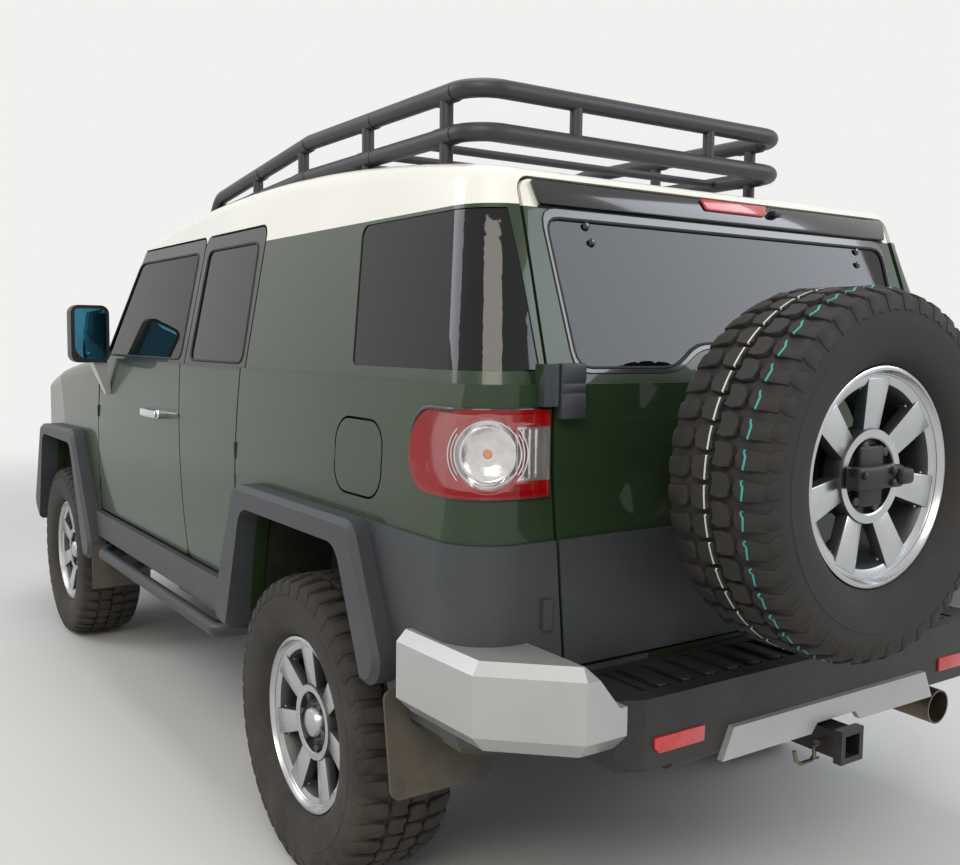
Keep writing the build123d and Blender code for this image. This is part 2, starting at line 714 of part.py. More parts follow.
# Steering rod slides in its housing behind the front bumper
rod_x = front_x + steer_arm
steering_rod = rod((rod_x, -672, rod_z), (rod_x, 672, rod_z), 9)
rod_eyes = [rod((rod_x, side * 684, rod_z - 13), (rod_x, side * 684, rod_z + 16), eye_radius)
            for side in (-1, 1)]
steering_rod = joined(steering_rod, *rod_eyes)
save(steering_rod, "steering_rod")
rack_housing = cut(rod((rod_x, -300, rod_z), (rod_x, 300, rod_z), 27),
                   rod((rod_x, -310, rod_z), (rod_x, 310, rod_z), 9.08))
rack_brackets = [box_between((rod_x - 30, rod_x + 30), (side * 230 - 25, side * 230 + 25),
                             (rod_z + 20, rod_z + 30)) for side in (-1, 1)]
rack_beam = box_between((rod_x - 40, rod_x + 55), (-365, 365), (rod_z + 28, rod_z + 52))
rack_housing = cut(joined(rack_housing, *rack_brackets, rack_beam),
                   rod((rod_x, -310, rod_z), (rod_x, 310, rod_z), 9.08))

# Suspension: front arms and coil-overs, rear links, springs and dampers
spring_radius = 52
lower_pad = rod((front_x, kingpin_y, 240), (front_x, kingpin_y, 300 - seat_gap), 27)
upper_pad = rod((front_x, kingpin_y, 510 + seat_gap), (front_x, kingpin_y, 545), 24)
lower_arms = [rod((front_x + x, 400, 330), (front_x, kingpin_y, 264), 20) for x in (-arm_spread, arm_spread)]
upper_arms = [rod((front_x + x, 420, 585), (front_x, kingpin_y, 532), 14) for x in (-95, 95)]
coil_over = joined(rod((front_x, 566, 300), (front_x, 520, 800), 26),
                   rod((front_x, 548, 490), (front_x, 521, 785), spring_radius))
lower_link = rod((rear_x + 560, 405, 540), (rear_x + 20, 520, 345), 22)
upper_link = rod((rear_x + 470, 300, 640), (rear_x + 20, 300, 470), 18)
link_bracket = box_between((rear_x - 10, rear_x + 50), (285, 315), (430, 490))
rear_spring = rod((rear_x + 5, rail_y, 430), (rear_x + 5, rail_y, 650), spring_radius + 4)
damper = joined(rod((rear_x - 95, 540, 350), (rear_x - 120, 500, 800), 22),
                box_between((rear_x - 110, rear_x), (515, 560), (330, 372)))
suspension = joined(lower_pad, upper_pad, *lower_arms, *upper_arms, coil_over, lower_link, upper_link,
                    link_bracket, rear_spring, damper)
panhard = rod((rear_x - 150, 380, 640), (rear_x - 95, -470, 470), 17)
panhard_foot = box_between((rear_x - 120, rear_x), (-490, -440), (390, 490))
suspension = joined(suspension, flipped(suspension), panhard, panhard_foot, rack_housing)
save(rear_axle, "rear_axle")
suspension = cut(suspension, chassis_frame, rear_axle, floor_pan)
save(suspension, "suspension")

# Engine as one plain block, with its mounts to the rails
engine_block = joined(box_between((front_x - 380, front_x + 240), (-270, 270), (560 + 25, 1080)),
                      rod((front_x - 100, -365, 600), (front_x - 100, 365, 600), 24))
engine_block = cut(engine_block, chassis_frame, suspension)
save(engine_block, "engine_block")

# Driveline: bell housing, gearbox, transfer case, front differential and shafts
bell = box_between((firewall_x + 30, front_x - 380), (-170, 170), (470, 760))
gearbox = box_between((front_x - 1260, firewall_x + 30), (-115, 115), (430, 600))
transfer = box_between((front_x - 1480, front_x - 1260), (-90, 210), (400, 598))
rear_shaft = rod((front_x - 1480, 0, 500), (rear_x + 215, 0, axle_height + 12), 32)
front_shaft = rod((front_x - 1270, 165, 425), (front_x - 90, 165, 410), 24)
front_diff = joined(rod((front_x, 60, axle_height), (front_x, 230, axle_height), 92),
                    rod((front_x - 110, 165, 408), (front_x, 165, axle_height), 48),
                    box_between((front_x - 40, front_x + 40), (60, 365), (470, 500)))
shaft_end, boot_end = 654, 632
half_shafts = [rod((front_x, 230, axle_height), (front_x, shaft_end, axle_height), 15),
               rod((front_x, -shaft_end, axle_height), (front_x, 60, axle_height), 15)]
boots = [rod((front_x, side * 572, axle_height), (front_x, side * boot_end, axle_height), 36)
         for side in (-1, 1)]
driveline = joined(bell, gearbox, transfer, rear_shaft, front_shaft, front_diff, *half_shafts, *boots)
driveline = cut(driveline, chassis_frame, suspension, rear_axle, engine_block, front_structure,
                inner_wings, floor_pan)
save(driveline, "driveline")

# Exhaust on the right with its muffler, hangers and tail pipe
exhaust_y = -275
pipe_points = [(front_x - 620, exhaust_y, 470), (rear_x + 1380, exhaust_y, 470),
               (rear_x + 700, exhaust_y, 485), (rear_x + 330, -225, 560), (rear_x - 60, -225, 610),
               (rear_x - 420, -330, 560), (rear_x - 640, -490, 480), (rear_x - 945, -490, 468)]
pipe = tube_path(pipe_points, 90, 29)
muffler = rod((rear_x + 820, exhaust_y, 482), (rear_x + 1330, exhaust_y, 478), 68)
hangers = [rod((rear_x + ahead, exhaust_y, 500), (rear_x + ahead, exhaust_y, high), 7)
           for ahead, high in ((1450, floor_z), (760, floor_z))]
tail_pipe = rod((rear_x - 760, -490, 473), (rear_x - 950, -490, 468), 46)
exhaust = joined(pipe, muffler, tail_pipe, *hangers)
tail_bore = rod((rear_x - 800, -490, 472), (rear_x - 960, -490, 468), 42)
exhaust = cut(exhaust, chassis_frame, tail_bore, suspension)
save(exhaust, "exhaust")

# Fuel tank slung between the left rail and the rocker
rail_face = rail_y + rail_width / 2
fuel_tank = cut(plan_prism([(rear_x + 700, rail_face), (rear_x + 700, 735), (rear_x + 1600, 735),
                            (rear_x + 1600, rail_face)], 420, floor_z, 30), chassis_frame)
save(fuel_tank, "fuel_tank")

# Front bumper, its end caps, the grille and round headlamps
bumper_low = 520
bumper_high = 800
front_bumper_plan = [(front_x + 660, -610), (front_x + 855, -610), (front_x + front_overhang, -420),
                     (front_x + front_overhang, 420), (front_x + 855, 610), (front_x + 660, 610)]
front_bumper = plan_prism(front_bumper_plan, bumper_low, bumper_high)
bumper_recess = box_between((front_x + 820, front_x + 900), (-360, 360), (600, 690))
front_bumper = cut(front_bumper, bumper_recess)
save(front_bumper, "front_bumper")
front_cap_plan = [(front_x + 600, 610), (front_x + 855, 610), (front_x + 835, 720), (front_x + 690, 880),
                  (front_x + 545, 925), (front_x + 545, 800), (front_x + 600, 800)]
with BuildPart() as front_cap:
    add(plan_prism(front_cap_plan, 560, bumper_high - 4))
    chamfer(front_cap.faces().sort_by(Axis.Z)[-1].edges().filter_by(
        lambda e: e.center().Y > 620 and e.center().X > front_x + 620), 22)
front_cap = cut(front_cap.part, cladding_left, wing, inner_wings, front_bumper)

lamp_y = 600
lamp_z = 985
grille_fit = grille_half_width - seat_gap
grille_panel = common(nose_shell, box_between((front_x + 600, far), (-grille_fit, grille_fit),
                                              (bumper_high + seat_gap, grille_high)))
grille_mouth = box_between((front_x + 600, far), (-455, 455), (900, 1070))
grille_bars = [box_between((front_x + 600, far), (-456, 456), (z, z + 16)) for z in (930, 976, 1022)]
grille_slats = [box_between((front_x + 600, far), (y, y + 10), (899, 1071)) for y in range(-400, 401, 80)]
grille_mesh = common(cut(nose_form(10), nose_form(28)), joined(*grille_bars, *grille_slats))
lamp_holes = [rod((front_x + 500, side * lamp_y, lamp_z), (front_x + 900, side * lamp_y, lamp_z), 96)
              for side in (-1, 1)]
grille = joined(cut(grille_panel, grille_mouth, *lamp_holes), grille_mesh)
save(grille, "grille")
lamp_radius = 96
headlamp = common(nose_form(3), rod((front_x + 625, lamp_y, lamp_z), (front_x + 900, lamp_y, lamp_z),
                                    lamp_radius - seat_gap))
save(both_sides(headlamp), "headlamps")

# Rear step bumper with its caps, lower strip, tow beam and square receiver
step_low = 552
step_high = 702
rear_bumper_plan = [(tail_x - 8, -655), (rear_x - 950, -655), (rear_x - 978, -600), (rear_x - 978, 600),
                    (rear_x - 950, 655), (tail_x - 8, 655)]
rear_bumper = plan_prism(rear_bumper_plan, step_low, step_high)
tread_grooves = [box_between((rear_x - 935, rear_x - 800), (y, y + 16), (step_high - 5, step_high + 5))
                 for y in range(-560, 561, 36)]
rear_bumper = cut(rear_bumper, *tread_grooves)
tow_beam = rod((rear_x - 850, -420, 505), (rear_x - 850, 420, 505), 32)
tow_brackets = [box_between((rear_x - 885, rear_x - 815), (side * 400 - 6, side * 400 + 6), (500, step_low))
                for side in (-1, 1)]
receiver_outer = box_between((rear_x - 1040, rear_x - 850), (-32, 32), (466, 530))
receiver_socket = box_between((rear_x - 1050, rear_x - 900), (-25.6, 25.6), (472.4, 523.6))
receiver_collar = box_between((rear_x - 1040, rear_x - 1018), (-40, 40), (458, 538))
rear_bumper = cut(joined(rear_bumper, tow_beam, *tow_brackets, receiver_outer, receiver_collar),
                  receiver_socket, exhaust)
save(rear_bumper, "rear_bumper")
rear_cap_plan = [(rear_x - 545, 800), (rear_x - 545, 935), (rear_x - 830, 925), (rear_x - 985, 760),
                 (rear_x - 985, 655.4), (rear_x - 700, 655.4)]
with BuildPart() as rear_cap:
    add(plan_prism(rear_cap_plan, 602, 792))
    chamfer(rear_cap.faces().sort_by(Axis.Z)[-1].edges().filter_by(
        lambda e: e.center().Y > 700 and e.center().X < rear_x - 560), 24)
    chamfer(rear_cap.faces().sort_by(Axis.Z)[0].edges().filter_by(
        lambda e: e.center().Y > 700 and e.center().X < rear_x - 560), 40)
cap_corner = cross_prism([(650, step_high), (650, 810), (762, 810), (675, step_high)],
                         rear_x - 1000, rear_x - 690)
rear_cap = cut(rear_cap.part, tub_outer, cladding_left, rear_bumper, cap_corner)
strip = cross_prism([(-385, 530), (-352, 600), (352, 600), (385, 530), (90, 530), (70, 553), (-70, 553),
                     (-90, 530)], rear_x - 994, rear_x - 978)
bumper_trim = joined(both_sides(front_cap), both_sides(rear_cap), strip)
save(bumper_trim, "bumper_trim")

# Mud flaps hang behind each wheel arch
rear_flap_outline = [(938, flare_foot + 5), (938, 398), (690, 398), (628, 446), (628, flare_foot + 5)]
rear_flap = common(cross_prism(rear_flap_outline, rear_x - 560, rear_x - 460, 22),
                   side_prism([(rear_x - 486, 645), (rear_x - 494, 645), (rear_x - 536, 390),
                               (rear_x - 528, 390)], 600, 960))
front_flap = side_prism([(front_x - 556, 520), (front_x - 564, 520), (front_x - 578, 330),
                         (front_x - 570, 330)], 690, 938)
mud_flaps = cut(joined(rear_flap, front_flap), cladding_left, rear_cap, floor_pan, wheelhouses,
                rear_quarter)
save(both_sides(mud_flaps), "mud_flaps")

# Rock rails: a tube below each sill on arms from the frame
rock_y = 926
rock_z = 512
rock_points = [(rear_x + 520, 840, rock_z + 18), (rear_x + 600, rock_y, rock_z),
               (front_x - 720, rock_y, rock_z), (front_x - 650, 850, rock_z + 14)]
rock_tube = tube_path(rock_points, 50, 24)
rock_arms = [rod((rear_x + ahead, rock_y, rock_z), (rear_x + ahead, rail_y + 20, 545), 17)
             for ahead in (660, 1640, 1900)]
rock_rail = cut(joined(rock_tube, *rock_arms), chassis_frame, fuel_tank)
save(both_sides(rock_rail), "rock_rails")

# Interior seen through the glass: dashboard, steering wheel and seats
dash = side_prism([(front_x - 495, 1225), (front_x - 495, 900), (front_x - 640, 860), (front_x - 790, 940),
                   (front_x - 800, 1190), (front_x - 700, 1262), (front_x - 560, 1262)], -775, 775, 24)
dash = cut(dash, front_structure, inner_wings, floor_pan)
save(dash, "dashboard")
steer_y = 385
with BuildPart() as steering_wheel:
    column = Plane(origin=(front_x - 930, steer_y, 1130), z_dir=(-0.9, 0, 0.436))
    with BuildSketch(Plane(origin=column.origin, x_dir=(0, 1, 0), z_dir=column.x_dir)) as grip:
        with Locations((185, 0)):
            Circle(15)
    revolve(axis=Axis(column.origin, column.z_dir))
    with BuildSketch(column):
        Circle(62)
    extrude(amount=14, both=True)
    for turn in (90, 215, 325):
        with BuildSketch(column):
            with PolarLocations(110, 1, start_angle=turn):
                Rectangle(130, 30)
        extrude(amount=7, both=True)
    with BuildSketch(column):
        Circle(24)
    extrude(amount=-230)
steering_wheel = cut(steering_wheel.part, dash)
save(steering_wheel, "steering_wheel")


def seat(x, y, width, floor, base, top, depth):
    # Cushion, backrest and a plinth down to the floor
    cushion = side_prism([(x + depth, base + 20), (x + depth, base + 160), (x, base + 130), (x, base)],
                         y - width / 2, y + width / 2, 34)
    back = side_prism([(x + 60, base + 60), (x - 100, top), (x - 200, top), (x - 90, base + 40)],
                      y - width / 2, y + width / 2, 34)
    plinth = box_between((x + 40, x + depth - 70), (y - width / 2 + 50, y + width / 2 - 50),
                         (floor, base + 60))
    return joined(cushion, back, plinth)


seats = [seat(rear_x + 1130, side * 390, 500, floor_top, 800, 1480, 510) for side in (-1, 1)]
head_rests = [side_prism([(rear_x + 970, 1470), (rear_x + 950, 1640), (rear_x + 870, 1640),
                          (rear_x + 890, 1470)], side * 390 - 130, side * 390 + 130, 30)
              for side in (-1, 1)]
bench = seat(rear_x + 470, 0, 1180, floor_top, 820, 1420, 430)
bench = cut(bench, floor_pan, wheelhouses)
save(joined(*seats, *head_rests, bench), "seats")

# Roof rack: two tube loops, posts, slats and feet on the roof
rack_half = 575
rack_rear = rear_x - 290
rack_front = rear_x + 1500
lower_rail_z = 1950
upper_rail_z = 2058
rack_tube = 24


def rail_drop(x, slope):
    # The rails fall toward the front beyond the knee
    return max(0, x - rack_knee) * slope


rack_knee = rack_rear + 950
lower_slope = 0.05
upper_slope = 0.11
upper_front = rack_front + 60


def rail_run(front, height, slope, tail):
    # Left side from the front, across the rear, and back along the right side
    side = tail + [(front, height - rail_drop(front, slope)), (rack_knee, height), (rack_rear, height)]
    left = [(x, rack_half, z) for x, z in side]
    return left + [(x, -y, z) for x, y, z in reversed(left)]


upper_loop = tube_path(rail_run(upper_front - 70, upper_rail_z, upper_slope, [(upper_front + 30, 1860)]),
                       90, rack_tube)
lower_loop = tube_path(rail_run(rack_front, lower_rail_z, lower_slope, []), 90, rack_tube)
post_stations = [rack_rear + 130, rack_rear + 560, rack_rear + 1010, rack_rear + 1400]
posts = [rod((x, side * rack_half, 1780), (x, side * rack_half, upper_rail_z - rail_drop(x, upper_slope)), 18)
         for x in post_stations for side in (-1, 1)]
rear_posts = [rod((rack_rear, side * 250, lower_rail_z), (rack_rear, side * 250, upper_rail_z), 17)
              for side in (-1, 1)]
slat_stations = [rack_rear + 60 + 210 * i for i in range(7)]
slats = [rod((x, -rack_half, lower_rail_z - rail_drop(x, lower_slope)),
             (x, rack_half, lower_rail_z - rail_drop(x, lower_slope)), 12) for x in slat_stations]
foot_blocks = [box_between((x - 70, x + 70), (side * rack_half - 42, side * rack_half + 42), (1700, 2000))
               for x in post_stations for side in (-1, 1)]
base_plates = common(cut(house_form(-10), house_outer), joined(*foot_blocks))
roof_rack = joined(upper_loop, lower_loop, *posts, *rear_posts, *slats)
roof_rack = cut(joined(roof_rack, base_plates), house_outer)
save(roof_rack, "roof_rack")

# Wheels: rim with seven spokes, and a tyre on it
# Columns: radius, offset outward from the wheel's middle plane
bead_radius = 216
tyre_bore = bead_radius + seat_gap
tyre_profile = [(tyre_bore, -95.5), (233.6, -106.5), (244, -118), (300, -137), (345, -137.5),
                (383, -124), (396, -100), (400, -60), (400, 60), (396, 100), (383, 124), (345, 137.5),
                (300, 137), (244, 116), (233.6, 97.5), (tyre_bore, 94.5)]
rim_edge = rim_width / 2
rim_profile = [(bead_radius, -97), (rim_radius, -rim_edge), (rim_radius - 8, -rim_edge), (205, -96),
               (196, -60), (184, -40), (184, 40), (192, 60), (206, 92), (rim_radius - 10, rim_edge),
               (rim_radius, rim_edge), (rim_radius, 99), (bead_radius, 96), (bead_radius, 78),
               (204, 66), (194, 50), (194, -50), (204, -68), (bead_radius, -78)]


def turned(profile, x, y, z, side):
    # Ring about an axle line along Y at (x, z)
    with BuildPart(mode=Mode.PRIVATE) as ring:
        with BuildSketch(Plane(origin=(x, y, z), x_dir=(1, 0, 0), z_dir=(0, 0, 1))):
            with BuildLine():
                Polyline(*[(r, side * w) for r, w in profile], close=True)
            make_face()
        revolve(axis=Axis((x, y, z), (0, 1, 0)))
    return ring.part


def tyre_at(x, y, z, side):
    return turned(tyre_profile, x, y, z, side)


def rim_at(side):
    # Rim about the origin, its face toward +Y for side 1
    barrel = turned(rim_profile, 0, 0, 0, 1)
    with BuildPart(mode=Mode.PRIVATE) as spider:
        with BuildSketch(Plane.XZ.offset(-98)):
            Circle(72)
            with PolarLocations(0, 7, start_angle=90):
                Polygon((40, -36), (200, -27), (200, 27), (40, 36), align=None)
        extrude(amount=84)
    hollow = turned([(0, 120), (0, 72), (70, 72), (205, 96), (205, 120)], 0, 0, 0, 1)
    back = turned([(75, -20), (75, 20), (120, 48), (215, 62), (215, -20)], 0, 0, 0, 1)
    face = cut(spider.part, hollow, back)
    cap = turned([(0, 60), (0, 90), (26, 86), (34, 72), (34, 60)], 0, 0, 0, 1)
    return joined(barrel, face, cap)


rim_shape = rim_at(1)
wheel_places = {
    "front_left": (front_x, 1),
    "front_right": (front_x, -1),
    "rear_left": (rear_x, 1),
    "rear_right": (rear_x, -1),
}
for place, (x, side) in wheel_places.items():
    rim_here = Pos(x, side * wheel_y, axle_height) * (rim_shape if side > 0 else flipped(rim_shape))
    save(rim_here, "wheel_" + place)
    save(tyre_at(x, side * wheel_y, axle_height, side), "tyre_" + place)

# Spare wheel on the rear door, its face to the rear
spare_turn = Rot(0, 0, 90)
spare_rim = Pos(spare_centre_x, spare_y, spare_z) * spare_turn * rim_shape
spare_tyre = Pos(spare_centre_x, spare_y, spare_z) * spare_turn * tyre_at(0, 0, 0, 1)
save(spare_rim, "spare_wheel")
save(spare_tyre, "spare_tyre")
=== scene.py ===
from math import atan2, cos, pi, radians, sin, sqrt

import bpy
from mathutils import Matrix, Vector


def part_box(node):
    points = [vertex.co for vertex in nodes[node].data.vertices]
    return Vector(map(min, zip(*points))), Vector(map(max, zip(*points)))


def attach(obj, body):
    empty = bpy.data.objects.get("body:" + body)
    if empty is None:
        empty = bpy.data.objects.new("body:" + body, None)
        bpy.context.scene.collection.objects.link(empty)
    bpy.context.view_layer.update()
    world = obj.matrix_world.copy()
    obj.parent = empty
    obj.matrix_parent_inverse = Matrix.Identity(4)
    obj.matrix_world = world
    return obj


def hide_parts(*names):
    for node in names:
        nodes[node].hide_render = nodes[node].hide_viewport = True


# Metres, +X forward, +Y left, +Z up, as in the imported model
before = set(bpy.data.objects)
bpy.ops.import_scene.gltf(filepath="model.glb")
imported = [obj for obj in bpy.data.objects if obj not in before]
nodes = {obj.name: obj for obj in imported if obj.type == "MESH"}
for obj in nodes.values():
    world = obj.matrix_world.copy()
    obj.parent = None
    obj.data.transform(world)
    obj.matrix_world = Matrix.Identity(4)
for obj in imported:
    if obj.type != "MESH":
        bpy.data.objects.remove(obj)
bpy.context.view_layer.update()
bpy.ops.object.select_all(action="DESELECT")

rear_x = -1.1845
front_x = 1.5055
tail_x = rear_x - 0.765
wheel_y = 0.8025
axle_z = 0.400
belt_z = 1.335

# Finishes


def srgb(code):
    # sRGB hex to linear colour with full alpha
    parts = [int(code[i:i + 2], 16) / 255 for i in (0, 2, 4)]
    return [c / 12.92 if c <= 0.04045 else ((c + 0.055) / 1.055) ** 2.4 for c in parts] + [1.0]


def add_node(tree, kind, feeds=None, stops=None, **settings):
    # One shader node with its settings, its input values or links, and its colour stops
    made = tree.nodes.new(kind)
    for option, value in settings.items():
        setattr(made, option, value)
    for place, value in (feeds or {}).items():
        if isinstance(value, bpy.types.NodeSocket):
            tree.links.new(value, made.inputs[place])
        else:
            made.inputs[place].default_value = value
    for number, (position, colour) in enumerate(stops or []):
        elements = made.color_ramp.elements
        point = elements[number] if number < 2 else elements.new(position)
        point.position = position
        point.color = colour
    return made


def surface(name, colour, patch, patch_mm, grain_mm, grain_depth_mm, rough, dust=0.0, dust_top=1.0,
            dust_colour="8d8474", upper=None, **sockets):
    # Two tones in soft patches, a fine grain, road dust that thins out with height, and
    # another colour above a height where upper gives one
    made = bpy.data.materials.new(name)
    made.use_nodes = True
    tree = made.node_tree
    skin = tree.nodes["Principled BSDF"]
    place = add_node(tree, "ShaderNodeTexCoord").outputs["Object"]
    patches = add_node(tree, "ShaderNodeTexNoise",
                       {"Vector": place, "Scale": 1000 / patch_mm, "Detail": 5.0, "Roughness": 0.6})
    tone = add_node(tree, "ShaderNodeValToRGB", {"Fac": patches.outputs["Fac"]},
                    stops=[(0.36, srgb(colour)), (0.66, srgb(patch))])
    grain = add_node(tree, "ShaderNodeTexNoise", {"Vector": place, "Scale": 1000 / grain_mm, "Detail": 3.0})
    bump = add_node(tree, "ShaderNodeBump", {"Strength": 1.0, "Distance": grain_depth_mm / 1000,
                                             "Height": grain.outputs["Fac"]})
    height = add_node(tree, "ShaderNodeSeparateXYZ", {"Vector": place})
    body = tone.outputs["Color"]
    if upper:
        over = add_node(tree, "ShaderNodeMath", {0: height.outputs["Z"], 1: upper[0]},
                        operation="GREATER_THAN")
        body = add_node(tree, "ShaderNodeMix", {0: over.outputs[0], 6: body, 7: srgb(upper[1])},
                        data_type="RGBA").outputs[2]
    low = add_node(tree, "ShaderNodeMapRange", {"Value": height.outputs["Z"], "From Min": 0.1,
                                                "From Max": dust_top, "To Min": dust, "To Max": 0.0})
    speckle = add_node(tree, "ShaderNodeTexNoise", {"Vector": place, "Scale": 7.0, "Detail": 8.0,
                                                    "Roughness": 0.68})
    spread = add_node(tree, "ShaderNodeMapRange", {"Value": speckle.outputs["Fac"], "From Min": 0.38,
                                                   "From Max": 0.68, "To Min": 0.15, "To Max": 1.0})
    amount = add_node(tree, "ShaderNodeMath", {0: low.outputs["Result"], 1: spread.outputs["Result"]},
                      operation="MULTIPLY")
    dusty = add_node(tree, "ShaderNodeMix", {0: amount.outputs[0], 6: body,
                                             7: srgb(dust_colour)}, data_type="RGBA")
    swing = add_node(tree, "ShaderNodeMapRange", {"Value": patches.outputs["Fac"], "From Min": 0.3,
                                                  "From Max": 0.7, "To Min": rough * 0.88,
                                                  "To Max": rough * 1.15})
    rougher = add_node(tree, "ShaderNodeMapRange", {"Value": amount.outputs[0], "To Min": 0.0,
                                                    "To Max": 0.85 - rough})
    total = add_node(tree, "ShaderNodeMath", {0: swing.outputs["Result"], 1: rougher.outputs["Result"]},
                     operation="ADD")
    tree.links.new(dusty.outputs[2], skin.inputs["Base Color"])
    tree.links.new(total.outputs[0], skin.inputs["Roughness"])
    tree.links.new(bump.outputs["Normal"], skin.inputs["Normal"])
    for socket, value in sockets.items():
        skin.inputs[socket.replace("_", " ")].default_value = value
    return made


def glazing(name, colour, see_through, glaze_edge=1.0, **sockets):
    # Float glass: dark body colour, mirror-smooth, more opaque where it is seen at a slant
    made = bpy.data.materials.new(name)
    made.use_nodes = True
    tree = made.node_tree
    skin = tree.nodes["Principled BSDF"]
    place = add_node(tree, "ShaderNodeTexCoord").outputs["Object"]
    film = add_node(tree, "ShaderNodeTexNoise", {"Vector": place, "Scale": 3.0, "Detail": 6.0})
    smear = add_node(tree, "ShaderNodeMapRange", {"Value": film.outputs["Fac"], "To Min": 0.0,
                                                  "To Max": 0.05})
    slant = add_node(tree, "ShaderNodeFresnel", {"IOR": 1.5})
    cover = add_node(tree, "ShaderNodeMapRange", {"Value": slant.outputs["Fac"], "From Min": 0.04,
                                                  "From Max": 0.6, "To Min": 1 - see_through,
                                                  "To Max": glaze_edge})
    tree.links.new(smear.outputs["Result"], skin.inputs["Roughness"])
    tree.links.new(cover.outputs["Result"], skin.inputs["Alpha"])
    skin.inputs["Base Color"].default_value = srgb(colour)
    for socket, value in sockets.items():
        skin.inputs[socket.replace("_", " ")].default_value = value
    return made


def lamp_lens(name):
    # Moulded acrylic: red with a round clear window and a clear reversing field beside it
    made = glazing(name, "a3070d", 0.42)
    tree = made.node_tree
    skin = tree.nodes["Principled BSDF"]
    place = add_node(tree, "ShaderNodeTexCoord").outputs["Object"]
    axes = add_node(tree, "ShaderNodeSeparateXYZ", {"Vector": place})
    side = add_node(tree, "ShaderNodeMath", {0: axes.outputs["Y"]}, operation="ABSOLUTE")
    across_x = add_node(tree, "ShaderNodeMath", {0: axes.outputs["X"], 1: -lamp_x}, operation="ADD")
    across_y = add_node(tree, "ShaderNodeMath", {0: side.outputs[0], 1: -lamp_y}, operation="ADD")
    part_x = add_node(tree, "ShaderNodeMath", {0: across_x.outputs[0], 1: cos(lamp_turn)},
                      operation="MULTIPLY")
    along = add_node(tree, "ShaderNodeMath", {0: across_y.outputs[0], 1: sin(lamp_turn),
                                              2: part_x.outputs[0]}, operation="MULTIPLY_ADD")
    up = add_node(tree, "ShaderNodeMath", {0: axes.outputs["Z"], 1: -lamp_z}, operation="ADD")
    flat = add_node(tree, "ShaderNodeCombineXYZ", {"X": along.outputs[0], "Y": up.outputs[0]})
    reach = add_node(tree, "ShaderNodeVectorMath", {0: flat.outputs[0]}, operation="LENGTH")
    window = add_node(tree, "ShaderNodeMath", {0: reach.outputs["Value"], 1: 0.072}, operation="LESS_THAN")
    level = add_node(tree, "ShaderNodeMath", {0: up.outputs[0]}, operation="ABSOLUTE")
    band = add_node(tree, "ShaderNodeMath", {0: level.outputs[0], 1: 0.056}, operation="LESS_THAN")
    behind = add_node(tree, "ShaderNodeMath", {0: along.outputs[0], 1: -0.02}, operation="LESS_THAN")
    beside = add_node(tree, "ShaderNodeMath", {0: reach.outputs["Value"], 1: 0.080},
                      operation="GREATER_THAN")
    strip = add_node(tree, "ShaderNodeMath", {0: band.outputs[0], 1: behind.outputs[0]}, operation="MULTIPLY")
    field = add_node(tree, "ShaderNodeMath", {0: strip.outputs[0], 1: beside.outputs[0]},
                     operation="MULTIPLY")
    clear = add_node(tree, "ShaderNodeMath", {0: window.outputs[0], 1: field.outputs[0]}, operation="MAXIMUM")
    tint = add_node(tree, "ShaderNodeMix", {0: clear.outputs[0], 6: srgb("a3070d"), 7: srgb("d9cfcb")},
                    data_type="RGBA")
    see = add_node(tree, "ShaderNodeMapRange", {"Value": clear.outputs[0], "To Min": 0.60, "To Max": 0.16})
    tree.links.new(tint.outputs[2], skin.inputs["Base Color"])
    tree.links.new(see.outputs["Result"], skin.inputs["Alpha"])
    return made


# The round window of a tail lamp sits on the body's corner arc
corner_radius = 0.120
corner_x = tail_x + corner_radius
corner_y = 0.773
side_y = 0.885
lamp_turn = radians(58)
lamp_x = corner_x - corner_radius * sin(lamp_turn)
lamp_y = corner_y + corner_radius * cos(lamp_turn)
lamp_z = 1.192

# Clear-coated dark green metallic body paint: deep colour, faint flake, sharp highlights
green_coat = ("23331f", "293a24", 1400, 2.0, 0.02, 0.38, 0.10, 1.0, "6d6a58")
green_shine = {"Metallic": 0.12, "Specular_IOR_Level": 0.25, "Coat_Weight": 0.45, "Coat_Roughness": 0.03}
green_paint = surface("green_clearcoat", *green_coat, **green_shine)
# The same paint with a satin black window frame, and with the white roof edge of the rear door
framed_paint = surface("green_clearcoat_black_frame", *green_coat, upper=(1.325, "17181a"), **green_shine)
edged_paint = surface("green_clearcoat_white_edge", *green_coat, upper=(1.7215, "dedcd2"), **green_shine)
# Solid white roof paint, clear-coated
white_paint = surface("white_clearcoat", "dedcd2", "e6e4dc", 900, 3.0, 0.02, 0.30, 0.0, 1.0, Coat_Weight=0.8,
                      Coat_Roughness=0.05)
# Body primer inside panels
inner_paint = surface("inner_body_primer", "14160f", "1c1e18", 300, 4.0, 0.05, 0.6, 0.35, 1.1)
chassis_coat = surface("chassis_wax_coat", "131313", "1d1b18", 160, 6.0, 0.3, 0.55, 0.55, 0.9)
cast_iron = surface("cast_iron", "3b3935", "4a4038", 60, 5.0, 0.4, 0.62, 0.5, 0.9, Metallic=0.6)
# Grained polypropylene of the flares and lower panels; the grain is drawn at 5 mm so that it shows
charcoal = surface("grained_polypropylene", "2e3135", "383c40", 700, 5.0, 0.16, 0.50, 0.22, 1.0)
silver_plastic = surface("silver_painted_plastic", "acadac", "b7b8b7", 500, 4.0, 0.02, 0.36, 0.22, 0.8,
                         Metallic=0.55, Coat_Weight=0.35, Coat_Roughness=0.15)
black_plastic = surface("black_moulded_abs", "101113", "17181a", 200, 4.0, 0.08, 0.42, 0.25, 0.8)
gloss_black = surface("gloss_black_trim", "0b0c0d", "101113", 400, 6.0, 0.01, 0.16, Coat_Weight=0.6)
seal_rubber = surface("window_rubber", "0c0c0d", "141415", 120, 3.0, 0.05, 0.66)
